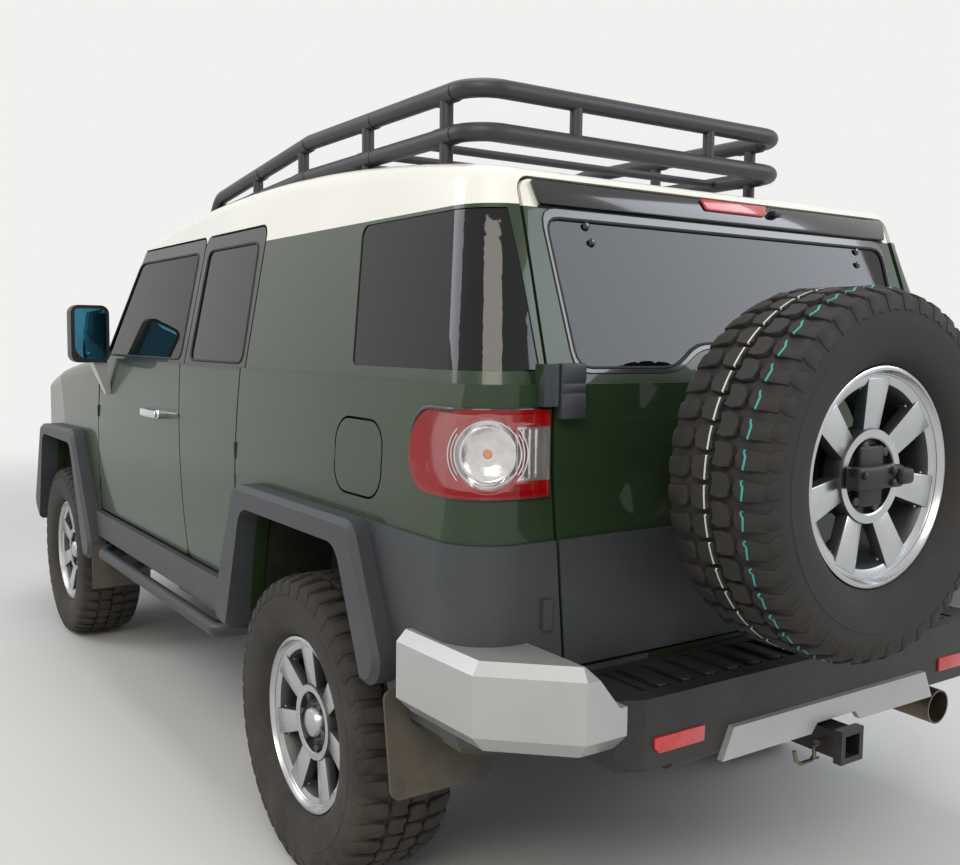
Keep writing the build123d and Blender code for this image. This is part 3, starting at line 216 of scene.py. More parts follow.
# Mud-terrain tread rubber, dusty grey-brown
tread_rubber = surface("dusty_tread_rubber", "191817", "2b2825", 90, 4.0, 0.25, 0.80, 0.30, 1.3, "6b6152")
flap_rubber = surface("dusty_flap_rubber", "3a352e", "4b443a", 120, 5.0, 0.15, 0.72, 0.5, 0.7)
# Machined aluminium face with a clear lacquer
machined = surface("machined_aluminium", "b4b6b8", "bfc1c3", 120, 3.0, 0.03, 0.26, 0.10, 1.6, Metallic=1.0,
                   Coat_Weight=0.5, Coat_Roughness=0.08)
pocket_paint = surface("grey_wheel_paint", "3e4145", "494c50", 90, 4.0, 0.05, 0.42, 0.3, 1.3, Metallic=0.7)
chrome = surface("bright_chrome", "c9cbcd", "d3d5d7", 200, 6.0, 0.01, 0.10, Metallic=1.0)
steel = surface("heat_stained_steel", "6b6259", "857a6b", 80, 4.0, 0.1, 0.38, 0.35, 0.8, Metallic=0.9)
powder_coat = surface("textured_powder_coat", "1f2124", "292b2e", 260, 5.0, 0.25, 0.46, 0.0, 1.0)
cloth = surface("woven_seat_cloth", "1d1e20", "2a2b2e", 60, 5.0, 0.5, 0.92, Sheen_Weight=0.4)
red_reflex = surface("red_reflector", "b5141a", "c92a2c", 30, 5.0, 0.3, 0.22, Coat_Weight=1.0)
lamp_silver = surface("metallised_reflector", "cfd0d2", "e2e3e4", 40, 8.0, 0.5, 0.16, Metallic=1.0)
lamp_amber = surface("amber_bulb", "c9772c", "d88f4c", 30, 6.0, 0.1, 0.2)
mirror_glass = surface("mirror_glass", "2d5a73", "3f7c97", 300, 9.0, 0.0, 0.04, Metallic=1.0)


def tread_marks(finish, centre_y, centre_z):
    # Paint lines of a new tyre: they show on the tops of the lugs only
    tree = finish.node_tree
    skin = tree.nodes["Principled BSDF"]
    colour = skin.inputs["Base Color"].links[0].from_socket
    axes = add_node(tree, "ShaderNodeSeparateXYZ",
                    {"Vector": add_node(tree, "ShaderNodeTexCoord").outputs["Object"]})
    over_y = add_node(tree, "ShaderNodeMath", {0: axes.outputs["Y"], 1: -centre_y}, operation="ADD")
    over_z = add_node(tree, "ShaderNodeMath", {0: axes.outputs["Z"], 1: -centre_z}, operation="ADD")
    arm = add_node(tree, "ShaderNodeCombineXYZ", {"X": over_y.outputs[0], "Y": over_z.outputs[0]})
    reach = add_node(tree, "ShaderNodeVectorMath", {0: arm.outputs[0]}, operation="LENGTH")
    top = add_node(tree, "ShaderNodeMath", {0: reach.outputs["Value"], 1: 0.3935}, operation="GREATER_THAN")
    for place, shade in ((-2.240, "c9c9c2"), (-2.334, "3f9c94")):
        near = add_node(tree, "ShaderNodeMath", {0: axes.outputs["X"], 1: place, 2: 0.0022},
                        operation="COMPARE")
        line = add_node(tree, "ShaderNodeMath", {0: near.outputs[0], 1: top.outputs[0]}, operation="MULTIPLY")
        colour = add_node(tree, "ShaderNodeMix", {0: line.outputs[0], 6: colour, 7: srgb(shade)},
                          data_type="RGBA").outputs[2]
    tree.links.new(colour, skin.inputs["Base Color"])


spare_y, spare_z = 0.135, 1.150
spare_rubber = surface("marked_tread_rubber", "191817", "2b2825", 90, 4.0, 0.25, 0.80, 0.15, 1.3, "6b6152")
tread_marks(spare_rubber, spare_y, spare_z)
clear_glass = glazing("clear_glass", "121714", 0.45, Specular_IOR_Level=0.35)
tinted_glass = glazing("tinted_glass", "07090b", 0.03, Specular_IOR_Level=0.35)
clear_lens = glazing("clear_polycarbonate", "c8ccce", 0.78)
tail_lens = lamp_lens("tail_lamp_acrylic")

cad_finishes = [
    (green_paint, ["rear_quarter_left", "rear_quarter_right", "front_wing_left", "front_wing_right",
                   "bonnet", "fuel_flap"]),
    (framed_paint, ["front_door_left", "front_door_right", "access_door_left", "access_door_right"]),
    (edged_paint, ["rear_door"]),
    (white_paint, ["roof"]),
    (inner_paint, ["floor_pan", "front_structure", "inner_wings", "wheelhouses"]),
    (chassis_coat, ["chassis_frame", "suspension"]),
    (cast_iron, ["engine_block", "driveline", "rear_axle", "knuckle_left", "knuckle_right",
                 "steering_rod"]),
    (charcoal, ["cladding_left", "cladding_right", "front_bumper"]),
    (silver_plastic, ["bumper_trim", "grille"]),
    (black_plastic, ["mirror_left", "mirror_right", "rear_bumper", "fuel_tank", "dashboard",
                     "steering_wheel"]),
    (flap_rubber, ["mud_flaps"]),
    (powder_coat, ["roof_rack", "rock_rails"]),
    (steel, ["exhaust"]),
    (clear_glass, ["windscreen", "front_door_glass_left", "front_door_glass_right"]),
    (tinted_glass, ["rear_glass", "quarter_glass", "access_glass_left", "access_glass_right"]),
    (clear_lens, ["headlamps"]),
    (tail_lens, ["tail_lamps"]),
]


def dress(node, *finishes):
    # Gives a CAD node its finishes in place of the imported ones
    mesh = nodes[node].data
    mesh.materials.clear()
    for finish in finishes:
        mesh.materials.append(finish)


for finish, names in cad_finishes:
    for node in names:
        dress(node, finish)

def repaint(node, finish, chosen):
    # Gives the faces that a test picks out by their centre a finish of their own
    mesh = nodes[node].data
    mesh.materials.append(finish)
    number = len(mesh.materials) - 1
    for face in mesh.polygons:
        if chosen(*face.center):
            face.material_index = number


def hinge_leaf(x, y, z):
    # Faces of the outer hinge leaves on the rear corner
    return x < tail_x - 0.003 and 1.289 < z < 1.379


repaint("rear_door", charcoal, lambda x, y, z: x < tail_x - 0.002 and z < 1.004 and abs(y) < 0.672)
repaint("rear_door", charcoal, lambda x, y, z: hinge_leaf(x, y, z) and 0.614 < y < 0.681)
repaint("rear_quarter_left", charcoal, hinge_leaf)
for hand in ("left", "right"):
    repaint("front_door_" + hand, chrome, lambda x, y, z: abs(y) > 0.8955 and 1.13 < z < 1.17)
    repaint("mirror_" + hand, silver_plastic, lambda x, y, z: z < 1.317)

# Modelling helpers


def alone(piece):
    # Makes a piece the only selected one and the active one
    bpy.ops.object.select_all(action="DESELECT")
    piece.select_set(True)
    bpy.context.view_layer.objects.active = piece


def rounded(piece, width, segments=2, angle=30):
    # Rounds the edges sharper than an angle
    alone(piece)
    edge = piece.modifiers.new("edge", "BEVEL")
    edge.width = width
    edge.segments = segments
    edge.limit_method = "ANGLE"
    edge.angle_limit = radians(angle)
    bpy.ops.object.modifier_apply(modifier=edge.name)
    return piece


def outward():
    # In edit mode: merges doubles and turns every face outwards
    bpy.ops.mesh.select_all(action="SELECT")
    bpy.ops.mesh.remove_doubles(threshold=1e-6)
    bpy.ops.mesh.normals_make_consistent(inside=False)


def plate(points, thickness, bevel=0.0, segments=2):
    # A flat outline drawn as one face, pulled out to a thickness, its edges rounded
    bpy.ops.object.select_all(action="DESELECT")
    bpy.ops.mesh.primitive_circle_add(vertices=len(points), fill_type="NGON")
    piece = bpy.context.object
    for vertex, point in zip(piece.data.vertices, points):
        vertex.co = point
    bpy.ops.object.mode_set(mode="EDIT")
    bpy.ops.mesh.select_all(action="SELECT")
    bpy.ops.mesh.extrude_region_move(TRANSFORM_OT_translate={"value": thickness})
    outward()
    bpy.ops.object.mode_set(mode="OBJECT")
    return rounded(piece, bevel, segments) if bevel else piece


def block(low, high, bevel=0.003, segments=2):
    # A bevelled block between two corners
    points = [(low[0], low[1], low[2]), (high[0], low[1], low[2]), (high[0], high[1], low[2]),
              (low[0], high[1], low[2])]
    return plate(points, (0, 0, high[2] - low[2]), bevel, segments)


def spun(profile, steps, axis=(0, 1, 0)):
    # A closed profile of (radius, offset along Y) turned about the Y axis
    bpy.ops.object.select_all(action="DESELECT")
    bpy.ops.mesh.primitive_circle_add(vertices=len(profile), fill_type="NOTHING")
    ring = bpy.context.object
    for vertex, (radius, offset) in zip(ring.data.vertices, profile):
        vertex.co = (radius, offset, 0)
    bpy.ops.object.mode_set(mode="EDIT")
    bpy.ops.mesh.select_all(action="SELECT")
    bpy.ops.mesh.spin(steps=steps, angle=2 * pi, center=(0, 0, 0), axis=axis)
    bpy.ops.mesh.select_all(action="SELECT")
    bpy.ops.mesh.remove_doubles(threshold=1e-5)
    bpy.ops.mesh.normals_make_consistent(inside=False)
    bpy.ops.object.mode_set(mode="OBJECT")
    return ring


def ring_plate(outer, inner, pull):
    # A flat ring between two outlines, pulled out to a thickness
    loops = []
    for outline in (outer, inner):
        bpy.ops.object.select_all(action="DESELECT")
        bpy.ops.mesh.primitive_circle_add(vertices=len(outline), fill_type="NOTHING")
        loops.append(bpy.context.object)
        for vertex, point in zip(loops[-1].data.vertices, outline):
            vertex.co = point
    border = merged(loops)
    bpy.ops.object.mode_set(mode="EDIT")
    bpy.ops.mesh.select_all(action="SELECT")
    bpy.ops.mesh.bridge_edge_loops()
    bpy.ops.mesh.select_all(action="SELECT")
    bpy.ops.mesh.extrude_region_move(TRANSFORM_OT_translate={"value": pull})
    outward()
    bpy.ops.object.mode_set(mode="OBJECT")
    return border


def pipe(points, radius, sides=3, closed=False):
    # A round bar or bead along points
    line = bpy.data.curves.new("line", "CURVE")
    line.dimensions = "3D"
    line.bevel_depth = radius
    line.bevel_resolution = sides
    line.use_fill_caps = True
    spline = line.splines.new("POLY")
    spline.points.add(len(points) - 1)
    for point, place in zip(spline.points, points):
        point.co = (*place, 1)
    spline.use_cyclic_u = closed
    bar = bpy.data.objects.new("bar", line)
    bpy.context.scene.collection.objects.link(bar)
    alone(bar)
    bpy.ops.object.convert(target="MESH")
    return bpy.context.object


def merged(pieces):
    # Several shapes as one piece
    bpy.ops.object.select_all(action="DESELECT")
    for piece in pieces:
        piece.select_set(True)
    bpy.context.view_layer.objects.active = pieces[0]
    if len(pieces) > 1:
        bpy.ops.object.join()
    return bpy.context.object


def twin(piece, matrix):
    # A copy with its own mesh, moved by a matrix
    other = piece.copy()
    other.data = piece.data.copy()
    bpy.context.scene.collection.objects.link(other)
    other.data.transform(matrix)
    if matrix.determinant() < 0:
        other.data.flip_normals()
    return other


def finished(piece, name, body, finishes, angle=35):
    # Names a piece, settles its place in its mesh, gives it its finishes and lets it ride
    alone(piece)
    bpy.ops.object.transform_apply(location=True, rotation=True, scale=True)
    bpy.ops.object.shade_smooth_by_angle(angle=radians(angle))
    piece.name = name
    piece.data.name = name
    for finish in finishes:
        piece.data.materials.append(finish)
    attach(piece, body)
    return piece


def rounded_outline(points, radius, steps=4):
    # The corners of a flat outline (u, v) turned into arcs
    made = []
    count = len(points)
    for number in range(count):
        corner = Vector(points[number])
        before = (Vector(points[number - 1]) - corner)
        after = (Vector(points[(number + 1) % count]) - corner)
        reach = min(radius, before.length * 0.45, after.length * 0.45)
        start = corner + before.normalized() * reach
        end = corner + after.normalized() * reach
        for step in range(steps + 1):
            t = step / steps
            made.append(tuple((1 - t) ** 2 * start + 2 * t * (1 - t) * corner + t * t * end))
    return made


mirror_y = Matrix.Diagonal((1, -1, 1, 1))

# Tyres: carcass, staggered tread lugs and shoulder blocks
tread_r = 0.3988
groove_r = 0.3860
pitches = 42
pitch_mm = 2 * pi * 400 / pitches
# Columns: outline around and across the tread in mm, for one pitch
centre_lug = [(3, 3), (24, 9), (49, 2), (55, 22), (50, 49), (27, 55), (6, 46), (0, 24)]
shoulder_lug = [(5, 66), (26, 57), (45, 63), (50, 80), (49, 126), (11, 126), (9, 88)]
side_block = [(6, 0.345), (24, 0.350), (42, 0.345), (46, 0.366), (40, 0.384), (16, 0.384), (2, 0.366)]


def tread_radius(across):
    # The tread falls away over the shoulders
    over = max(0, abs(across) - 92)
    return tread_r - 0.0145 * (over / 34) ** 2


def on_tread(around, across, radius):
    turn = around / 400
    return (radius * sin(turn), across / 1000, radius * cos(turn))


def lug(outline, side, shift):
    # One rubber block standing on the carcass, a little narrower at its top
    shape = [(around + shift, side * across) for around, across in outline]
    middle_u = sum(u for u, v in shape) / len(shape)
    middle_v = sum(v for u, v in shape) / len(shape)
    made = plate([on_tread(u, v, groove_r - 0.006) for u, v in shape], (0, 0, 0.01))
    for number, vertex in enumerate(made.data.vertices):
        if number >= len(shape):
            u, v = shape[number - len(shape)]
            u = middle_u + (u - middle_u) * 0.93
            v = middle_v + (v - middle_v) * 0.95
            vertex.co = on_tread(u, v, tread_radius(v))
    return made


def side_lug(side, shift):
    # A flat block on the upper sidewall
    made = plate([(r * sin((u + shift) / 400), side * 0.118, r * cos((u + shift) / 400))
                  for u, r in side_block], (0, side * 0.01, 0))
    count = len(side_block)
    for number, vertex in enumerate(made.data.vertices):
        if number >= count:
            u, r = side_block[number - count]
            level = 0.1366 if r < 0.36 else (0.1342 if r < 0.375 else 0.1262)
            vertex.co = (r * sin((u + shift) / 400), side * (level + 0.0008), r * cos((u + shift) / 400))
    return made


carcass_side = [(0.2163, 0.0945), (0.2336, 0.0975), (0.244, 0.116), (0.258, 0.127), (0.280, 0.1335),
                (0.305, 0.1370), (0.3195, 0.1373), (0.3205, 0.1374), (0.322, 0.1374), (0.323, 0.1362),
                (0.345, 0.1358), (0.366, 0.1325), (0.379, 0.125), (0.385, 0.112), (groove_r, 0.09)]
carcass_profile = ([(r, w) for r, w in carcass_side] + [(groove_r, 0.0)]
                   + [(r, -w - (0.001 if r < 0.23 else 0)) for r, w in reversed(carcass_side)])
carcass = spun(carcass_profile, 126)
blocks = []
for side, shift in ((1, 0.0), (-1, pitch_mm / 2)):
    blocks.append(lug([(u, v - 2) for u, v in centre_lug], side, shift))
    blocks.append(lug(shoulder_lug, side, shift + 4))
    blocks.append(side_lug(side, shift + 4))
blocks = rounded(merged(blocks), 0.0012, 1, 40)
alone(blocks)
bpy.ops.object.mode_set(mode="EDIT")
bpy.ops.mesh.select_all(action="SELECT")
bpy.ops.mesh.normals_make_consistent(inside=False)
bpy.ops.mesh.spin(steps=pitches - 1, dupli=True, angle=2 * pi * (pitches - 1) / pitches, center=(0, 0, 0),
                  axis=(0, 1, 0))
bpy.ops.object.mode_set(mode="OBJECT")
tyre = merged([carcass, blocks])

# Road wheels: barrel, seven flat spokes, hub with six nuts and a cap
barrel_profile = [(0.2155, -0.097), (0.2332, -0.108), (0.2252, -0.108), (0.205, -0.096), (0.196, -0.060),
                  (0.184, -0.040), (0.184, 0.040), (0.188, 0.062), (0.191, 0.078), (0.197, 0.087),
                  (0.205, 0.0905), (0.214, 0.0925), (0.2215, 0.101), (0.2245, 0.1075), (0.2275, 0.108),
                  (0.2332, 0.106), (0.2332, 0.099), (0.2155, 0.096), (0.2155, 0.078), (0.204, 0.066),
                  (0.194, 0.050), (0.194, -0.050), (0.204, -0.068), (0.2155, -0.078)]
wheel_parts = [spun(barrel_profile, 112)]
hub_profile = [(0.0, 0.020), (0.0, 0.066), (0.060, 0.066), (0.078, 0.066), (0.080, 0.080),
               (0.083, 0.082), (0.100, 0.0825), (0.104, 0.074), (0.104, 0.040), (0.078, 0.0145),
               (0.062, 0.0145), (0.062, 0.020)]
wheel_parts.append(spun(hub_profile, 84))
for number in range(7):
    turn = Matrix.Rotation(2 * pi * number / 7, 4, "Y")
    spoke = plate([(-0.027, 0.078, 0.092), (0.027, 0.078, 0.092), (0.037, 0.0935, 0.208),
                   (-0.037, 0.0935, 0.208)], (0, -0.004, 0))
    for vertex in spoke.data.vertices[4:]:
        grown = 1.10 if vertex.co.z > 0.1 else 1.05
        vertex.co = (vertex.co.x * grown, vertex.co.y - (0.026 if vertex.co.z < 0.1 else 0.020), vertex.co.z)
    spoke = rounded(spoke, 0.0035, 2, 30)
    spoke.data.transform(turn)
    wheel_parts.append(spoke)
    step = plate([(-0.040, 0.074, 0.180), (0.040, 0.074, 0.180), (0.046, 0.084, 0.207),
                  (-0.046, 0.084, 0.207)], (0, -0.020, 0), 0.003)
    step.data.transform(turn)
    wheel_parts.append(step)
wheel_face = merged(wheel_parts)
wheel_face.data.materials.append(machined)
wheel_face.data.materials.append(pocket_paint)
for face in wheel_face.data.polygons:
    reach = sqrt(face.center.x ** 2 + face.center.z ** 2)
    shown = face.normal.y > 0.72 and face.center.y > 0.076
    lip = reach > 0.196 and face.center.y > 0.086
    face.material_index = 0 if shown or lip else 1

nuts = []
for number in range(6):
    turn = 2 * pi * number / 6 + 0.3
    cup = spun([(0.0, 0.060), (0.0, 0.0665), (0.0155, 0.0665), (0.0175, 0.070), (0.0185, 0.0665),
                (0.0185, 0.060)], 20)
    nut = plate([(0.0105 * cos(a), 0.066, 0.0105 * sin(a)) for a in (2 * pi * i / 6 for i in range(6))],
                (0, 0.017, 0), 0.0018)
    place = Matrix.Translation((0.0685 * sin(turn), 0, 0.0685 * cos(turn)))
    for part in (cup, nut):
        part.data.transform(place)
        nuts.append(part)
nuts = merged(nuts)
nuts.data.materials.append(pocket_paint)
cap = spun([(0.0, 0.064), (0.0, 0.0945), (0.012, 0.0940), (0.026, 0.0915), (0.036, 0.087), (0.041, 0.080),
            (0.044, 0.066)], 48)
cap.data.materials.append(machined)

face_out = {
    "front_left": (front_x, wheel_y, axle_z, 0.0, "wheel_front_left_body"),
    "front_right": (front_x, -wheel_y, axle_z, pi, "wheel_front_right_body"),
    "rear_left": (rear_x, wheel_y, axle_z, 0.0, "wheel_rear_left_body"),
    "rear_right": (rear_x, -wheel_y, axle_z, pi, "wheel_rear_right_body"),
}
spare_place = (rear_x - 1.206 + 0.1375, spare_y, spare_z, pi / 2, "rear_door_body")
wheel_sets = [(place, values, "tyre_" + place, "wheel_" + place) for place, values in face_out.items()]
wheel_sets.append(("spare", spare_place, "spare_tyre", "spare_wheel"))
for place, (x, y, z, heading, body), tyre_node, wheel_node in wheel_sets:
    spin_start = {"front_left": 0.2, "rear_left": 0.05, "spare": 0.0}.get(place, 0.4)
    settle = (Matrix.Translation((x, y, z)) @ Matrix.Rotation(heading, 4, "Z")
              @ Matrix.Rotation(spin_start, 4, "Y"))
    tread = spare_rubber if place == "spare" else tread_rubber
    rubber = finished(twin(tyre, settle), "mud_tyre_" + place, body, [tread], 40)
    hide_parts(tyre_node)
    parts = [twin(wheel_face, settle), twin(nuts, settle)]
    if place != "spare":
        parts.append(twin(cap, settle))
    alloy = finished(merged(parts), "alloy_wheel_" + place, body, [], 30)
    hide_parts(wheel_node)
for master in (tyre, wheel_face, nuts, cap):
    bpy.data.objects.remove(master)

# Clamp of the spare wheel: arm, cross bolts and stud in the open hub
spare_x = spare_place[0]
clamp = [block((spare_x - 0.119, 0.070, 1.128), (spare_x - 0.082, 0.225, 1.176), 0.008),
         block((spare_x - 0.134, 0.055, 1.135), (spare_x - 0.097, 0.100, 1.170), 0.010),
         block((spare_x - 0.084, 0.095, 1.085), (spare_x - 0.060, 0.175, 1.215), 0.006)]
for y, z in ((0.115, 1.166), (0.115, 1.140), (0.210, 1.160)):
    bolt = spun([(0.0, -0.02), (0.0, 0.012), (0.004, 0.012), (0.008, 0.009), (0.008, -0.02)], 16)
    bolt.data.transform(Matrix.Translation((spare_x - 0.116, y, z)) @ Matrix.Rotation(pi / 2, 4, "Z"))
    clamp.append(bolt)
finished(merged(clamp), "spare_clamp", "rear_door_body", [black_plastic])

# Tail lamps: housing behind the lens, round reflector, rings


def body_corner(along, inset):
    # Point on the rear corner in plan: along the side, round the arc, across the tail
    straight = 0.125
    arc = corner_radius * pi / 2
    if along < straight:
        return corner_x + straight - along, side_y - inset
    if along < straight + arc:
        turn = (along - straight) / corner_radius
        reach = corner_radius - inset
        return corner_x - reach * sin(turn), min(corner_y + reach * cos(turn), side_y - inset)
    return tail_x + inset, corner_y - (along - straight - arc)


def corner_sheet(start, end, low, high, inset, thick, columns=28):
    # A sheet that follows the rear corner at a depth under the surface
    bpy.ops.object.select_all(action="DESELECT")
    bpy.ops.mesh.primitive_grid_add(x_subdivisions=columns, y_subdivisions=4, size=1)
    sheet = bpy.context.object
    for vertex in sheet.data.vertices:
        x, y = body_corner(start + (vertex.co.x + 0.5) * (end - start), inset)
        vertex.co = (x, y, low + (vertex.co.y + 0.5) * (high - low))
    alone(sheet)
    wall = sheet.modifiers.new("wall", "SOLIDIFY")
    wall.thickness = thick
    wall.offset = 0
    bpy.ops.object.modifier_apply(modifier=wall.name)
    return sheet


lamp_frame = Matrix.Translation((lamp_x, lamp_y, lamp_z)) @ Matrix.Rotation(lamp_turn, 4, "Z")
housing = corner_sheet(0.022, 0.383, 1.112, 1.272, 0.024, 0.002)
bowl = spun([(0.0, -0.027), (0.018, -0.026), (0.036, -0.021), (0.050, -0.011), (0.054, -0.008),
             (0.056, -0.008), (0.052, -0.014), (0.037, -0.024), (0.018, -0.0285), (0.0, -0.029)], 40)
ring = spun([(0.0545, -0.012), (0.0545, -0.0045), (0.0570, -0.0030), (0.0595, -0.0045), (0.0595, -0.012)], 56)
lens_rings = [spun([(r, -0.020), (r, -0.010), (r + 0.0022, -0.010), (r + 0.0022, -0.020)], 48)
              for r in (0.068, 0.075, 0.082)]
bulb = spun([(0.0, -0.03), (0.0, -0.008), (0.006, -0.009), (0.010, -0.014), (0.010, -0.03)], 20)
for part in (bowl, ring, bulb, *lens_rings):
    part.data.transform(lamp_frame)
grid = []
for number in range(5):
    x, y = body_corner(0.306 + number * 0.017, 0.018)
    grid.append(block((x - 0.004, y - 0.007, 1.140), (x + 0.004, y + 0.007, 1.244), 0.002))
for level in (1.248, 1.134):
    grid.append(block((tail_x + 0.008, 0.704, level - 0.006), (tail_x + 0.024, 0.770, level + 0.006), 0.002))
left_lamp = merged([housing, bowl, ring, *grid, *lens_rings])
right_lamp = twin(left_lamp, mirror_y)
right_bulb = twin(bulb, mirror_y)
lamp_end, lamp_low, lamp_high, nose_radius = 0.3905, 1.100, 1.284, 0.084
turns = [radians(15 * n) for n in range(7)]
edge = [(nose_radius * (1 - cos(a)), nose_radius * (1 - sin(a))) for a in turns]
edge += [(nose_radius + (lamp_end - nose_radius) * n / 20, 0.0) for n in range(1, 21)]
rim = [(*body_corner(along, -0.001), lamp_low + rise) for along, rise in edge]
rim += [(*body_corner(along, -0.001), lamp_high - rise) for along, rise in reversed(edge)]
left_rim = pipe(rim, 0.0045, 2, True)
right_rim = twin(left_rim, mirror_y)
finished(left_rim, "tail_lamp_bezel_left", "chassis_and_body", [gloss_black], 60)
finished(right_rim, "tail_lamp_bezel_right", "chassis_and_body", [gloss_black], 60)
finished(left_lamp, "tail_reflector_left", "chassis_and_body", [lamp_silver])
finished(right_lamp, "tail_reflector_right", "chassis_and_body", [lamp_silver])
finished(bulb, "tail_bulb_left", "chassis_and_body", [lamp_amber])
finished(right_bulb, "tail_bulb_right", "chassis_and_body", [lamp_amber])

# Round headlamps: a bowl, a shielded bulb and a bright rim behind the clear lens
headlamp_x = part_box("headlamps")[1][0] - 0.018
headlamp_y, headlamp_z = 0.600, 0.985
bowl_profile = [(0.0, -0.052), (0.020, -0.050), (0.048, -0.040), (0.070, -0.022), (0.084, 0.0),
                (0.088, 0.0), (0.074, -0.024), (0.051, -0.043), (0.021, -0.053), (0.0, -0.055)]
shield_profile = [(0.0, -0.050), (0.0, -0.006), (0.013, -0.008), (0.020, -0.014), (0.020, -0.020),
                  (0.010, -0.022), (0.010, -0.050)]
for side, hand in ((1, "left"), (-1, "right")):
    lamp_place = (Matrix.Translation((headlamp_x, side * headlamp_y, headlamp_z))
                  @ Matrix.Rotation(-pi / 2, 4, "Z"))
    bowl = spun(bowl_profile, 56)
    shield = spun(shield_profile, 32)
    flutes = []
    for number in range(24):
        turn = Matrix.Rotation(2 * pi * number / 24, 4, "Y")
        flute = plate([(-0.0035, -0.0385, 0.050), (0.0035, -0.0385, 0.050), (0.005, -0.010, 0.0775),
                       (-0.005, -0.010, 0.0775)], (0, 0.0015, -0.001), 0.0006)
        flute.data.transform(turn)
        flutes.append(flute)
    reflector = merged([bowl, shield, *flutes])
    reflector.data.transform(lamp_place)
    finished(reflector, "headlamp_reflector_" + hand, "chassis_and_body", [lamp_silver])

# Rear door: black header with a high stop lamp, window seal and border, hinge cover
rear_lean = 0.196 / 0.595


def on_rear(y, z, out=0.0):
    # Point on the leaning rear plane above the belt, out from it by a distance
    lean = atan2(rear_lean, 1)
    return (rear_x - 0.748 + (z - belt_z) * rear_lean - out * cos(lean), y, z + out * sin(lean))


header = plate([on_rear(y, z) for y, z in ((-0.623, 1.724), (0.623, 1.724), (0.637, 1.779), (-0.637, 1.779))],
               Vector(on_rear(0, 1.7, 0.014)) - Vector(on_rear(0, 1.7)), 0.005)
finished(header, "rear_header", "rear_door_body", [gloss_black])
stop_lamp = plate([on_rear(y, z, 0.0135) for y, z in ((-0.110, 1.749), (0.105, 1.749), (0.119, 1.777),
                                                      (-0.124, 1.777))],
                  Vector(on_rear(0, 1.7, 0.008)) - Vector(on_rear(0, 1.7)), 0.004)
# Painted shade: a thin black bar in the window rubber finish lies along the gap under the header, standing in
# for the shade in that gap
gap_shade_bar = pipe([on_rear(-0.625, 1.7228), on_rear(0.625, 1.7228)], 0.003, 2)
finished(gap_shade_bar, "rear_header_gap_painted_shade", "rear_door_body", [seal_rubber])
nozzle = block((rear_x - 0.640, -0.166, 1.756), (rear_x - 0.612, -0.138, 1.774), 0.005)
finished(nozzle, "washer_nozzle", "rear_door_body", [black_plastic])
finished(stop_lamp, "high_stop_lamp", "rear_door_body", [red_reflex])


def bead(name, body, points, radius=0.0045, finish=seal_rubber):
    # A rubber seal round a window
    return finished(pipe(points, radius, 2, True), name, body, [finish], 60)


rear_outline = rounded_outline([(0.596, 1.368), (0.300, 1.368), (0.215, 1.424), (-0.060, 1.424),
                                (-0.145, 1.368), (-0.596, 1.368), (-0.610, 1.700), (0.610, 1.700)], 0.04)
bead("rear_window_seal", "rear_door_body", [on_rear(y, z, -0.001) for y, z in rear_outline])
frit_outline = rounded_outline([(0.606, 1.3565), (0.294, 1.3565), (0.209, 1.4125), (-0.054, 1.4125),
                                (-0.139, 1.3565), (-0.606, 1.3565), (-0.621, 1.7215), (0.621, 1.7215)], 0.045)
pull = Vector(on_rear(0, 1.5, 0.002)) - Vector(on_rear(0, 1.5))
frit = ring_plate([on_rear(y, z) for y, z in frit_outline], [on_rear(y, z) for y, z in rear_outline], pull)
finished(frit, "rear_glass_border", "rear_door_body", [gloss_black])
bead("rear_glass_edge", "rear_door_body", [on_rear(y, z, 0.001) for y, z in frit_outline], 0.0014)
studs = []
for y, z in ((-0.494, 1.687), (0.494, 1.687), (-0.486, 1.650), (0.486, 1.650)):
    stud = spun([(0.0, 0.0), (0.0, 0.0045), (0.007, 0.0040), (0.010, 0.0020), (0.010, 0.0)], 20)
    stud.data.transform(Matrix.Translation(on_rear(y, z)) @ Matrix.Rotation(pi / 2, 4, "Z"))
    studs.append(stud)
finished(merged(studs), "rear_glass_studs", "rear_door_body", [gloss_black])
side_lean = 0.135 / 0.595


def on_side(x, z, side=1, out=0.0):
    # Point on the leaning side plane above the belt
    lean = atan2(side_lean, 1)
    return (x, side * (0.857 - (z - belt_z) * side_lean + out * cos(lean)), z + out * sin(lean))


door_split = rear_x + 1.100
access_rear = rear_x + 0.533
window_outlines = {
    "front_door": [(front_x - 0.561, 1.348), (front_x - 0.800, 1.726), (door_split + 0.082, 1.726),
                   (door_split + 0.052, 1.348)],
    "access_door": [(door_split - 0.050, 1.348), (door_split - 0.022, 1.726), (access_rear + 0.093, 1.726),
                    (access_rear + 0.031, 1.348)],
}
for label, outline in window_outlines.items():
    for side, hand in ((1, "left"), (-1, "right")):
        shape = rounded_outline(outline, 0.036)
        bead(f"{label}_seal_{hand}", f"{label}_{hand}_body", [on_side(x, z, side, -0.001) for x, z in shape])

# Upper hinge cover on the door, in three rows
cover = [block((tail_x - 0.0235, 0.612, low), (tail_x + 0.004, 0.6785, high), 0.005)
         for low, high in ((1.3395, 1.380), (1.3185, 1.3375), (1.262, 1.3165))]
finished(merged(cover), "hinge_cover", "rear_door_body", [charcoal])

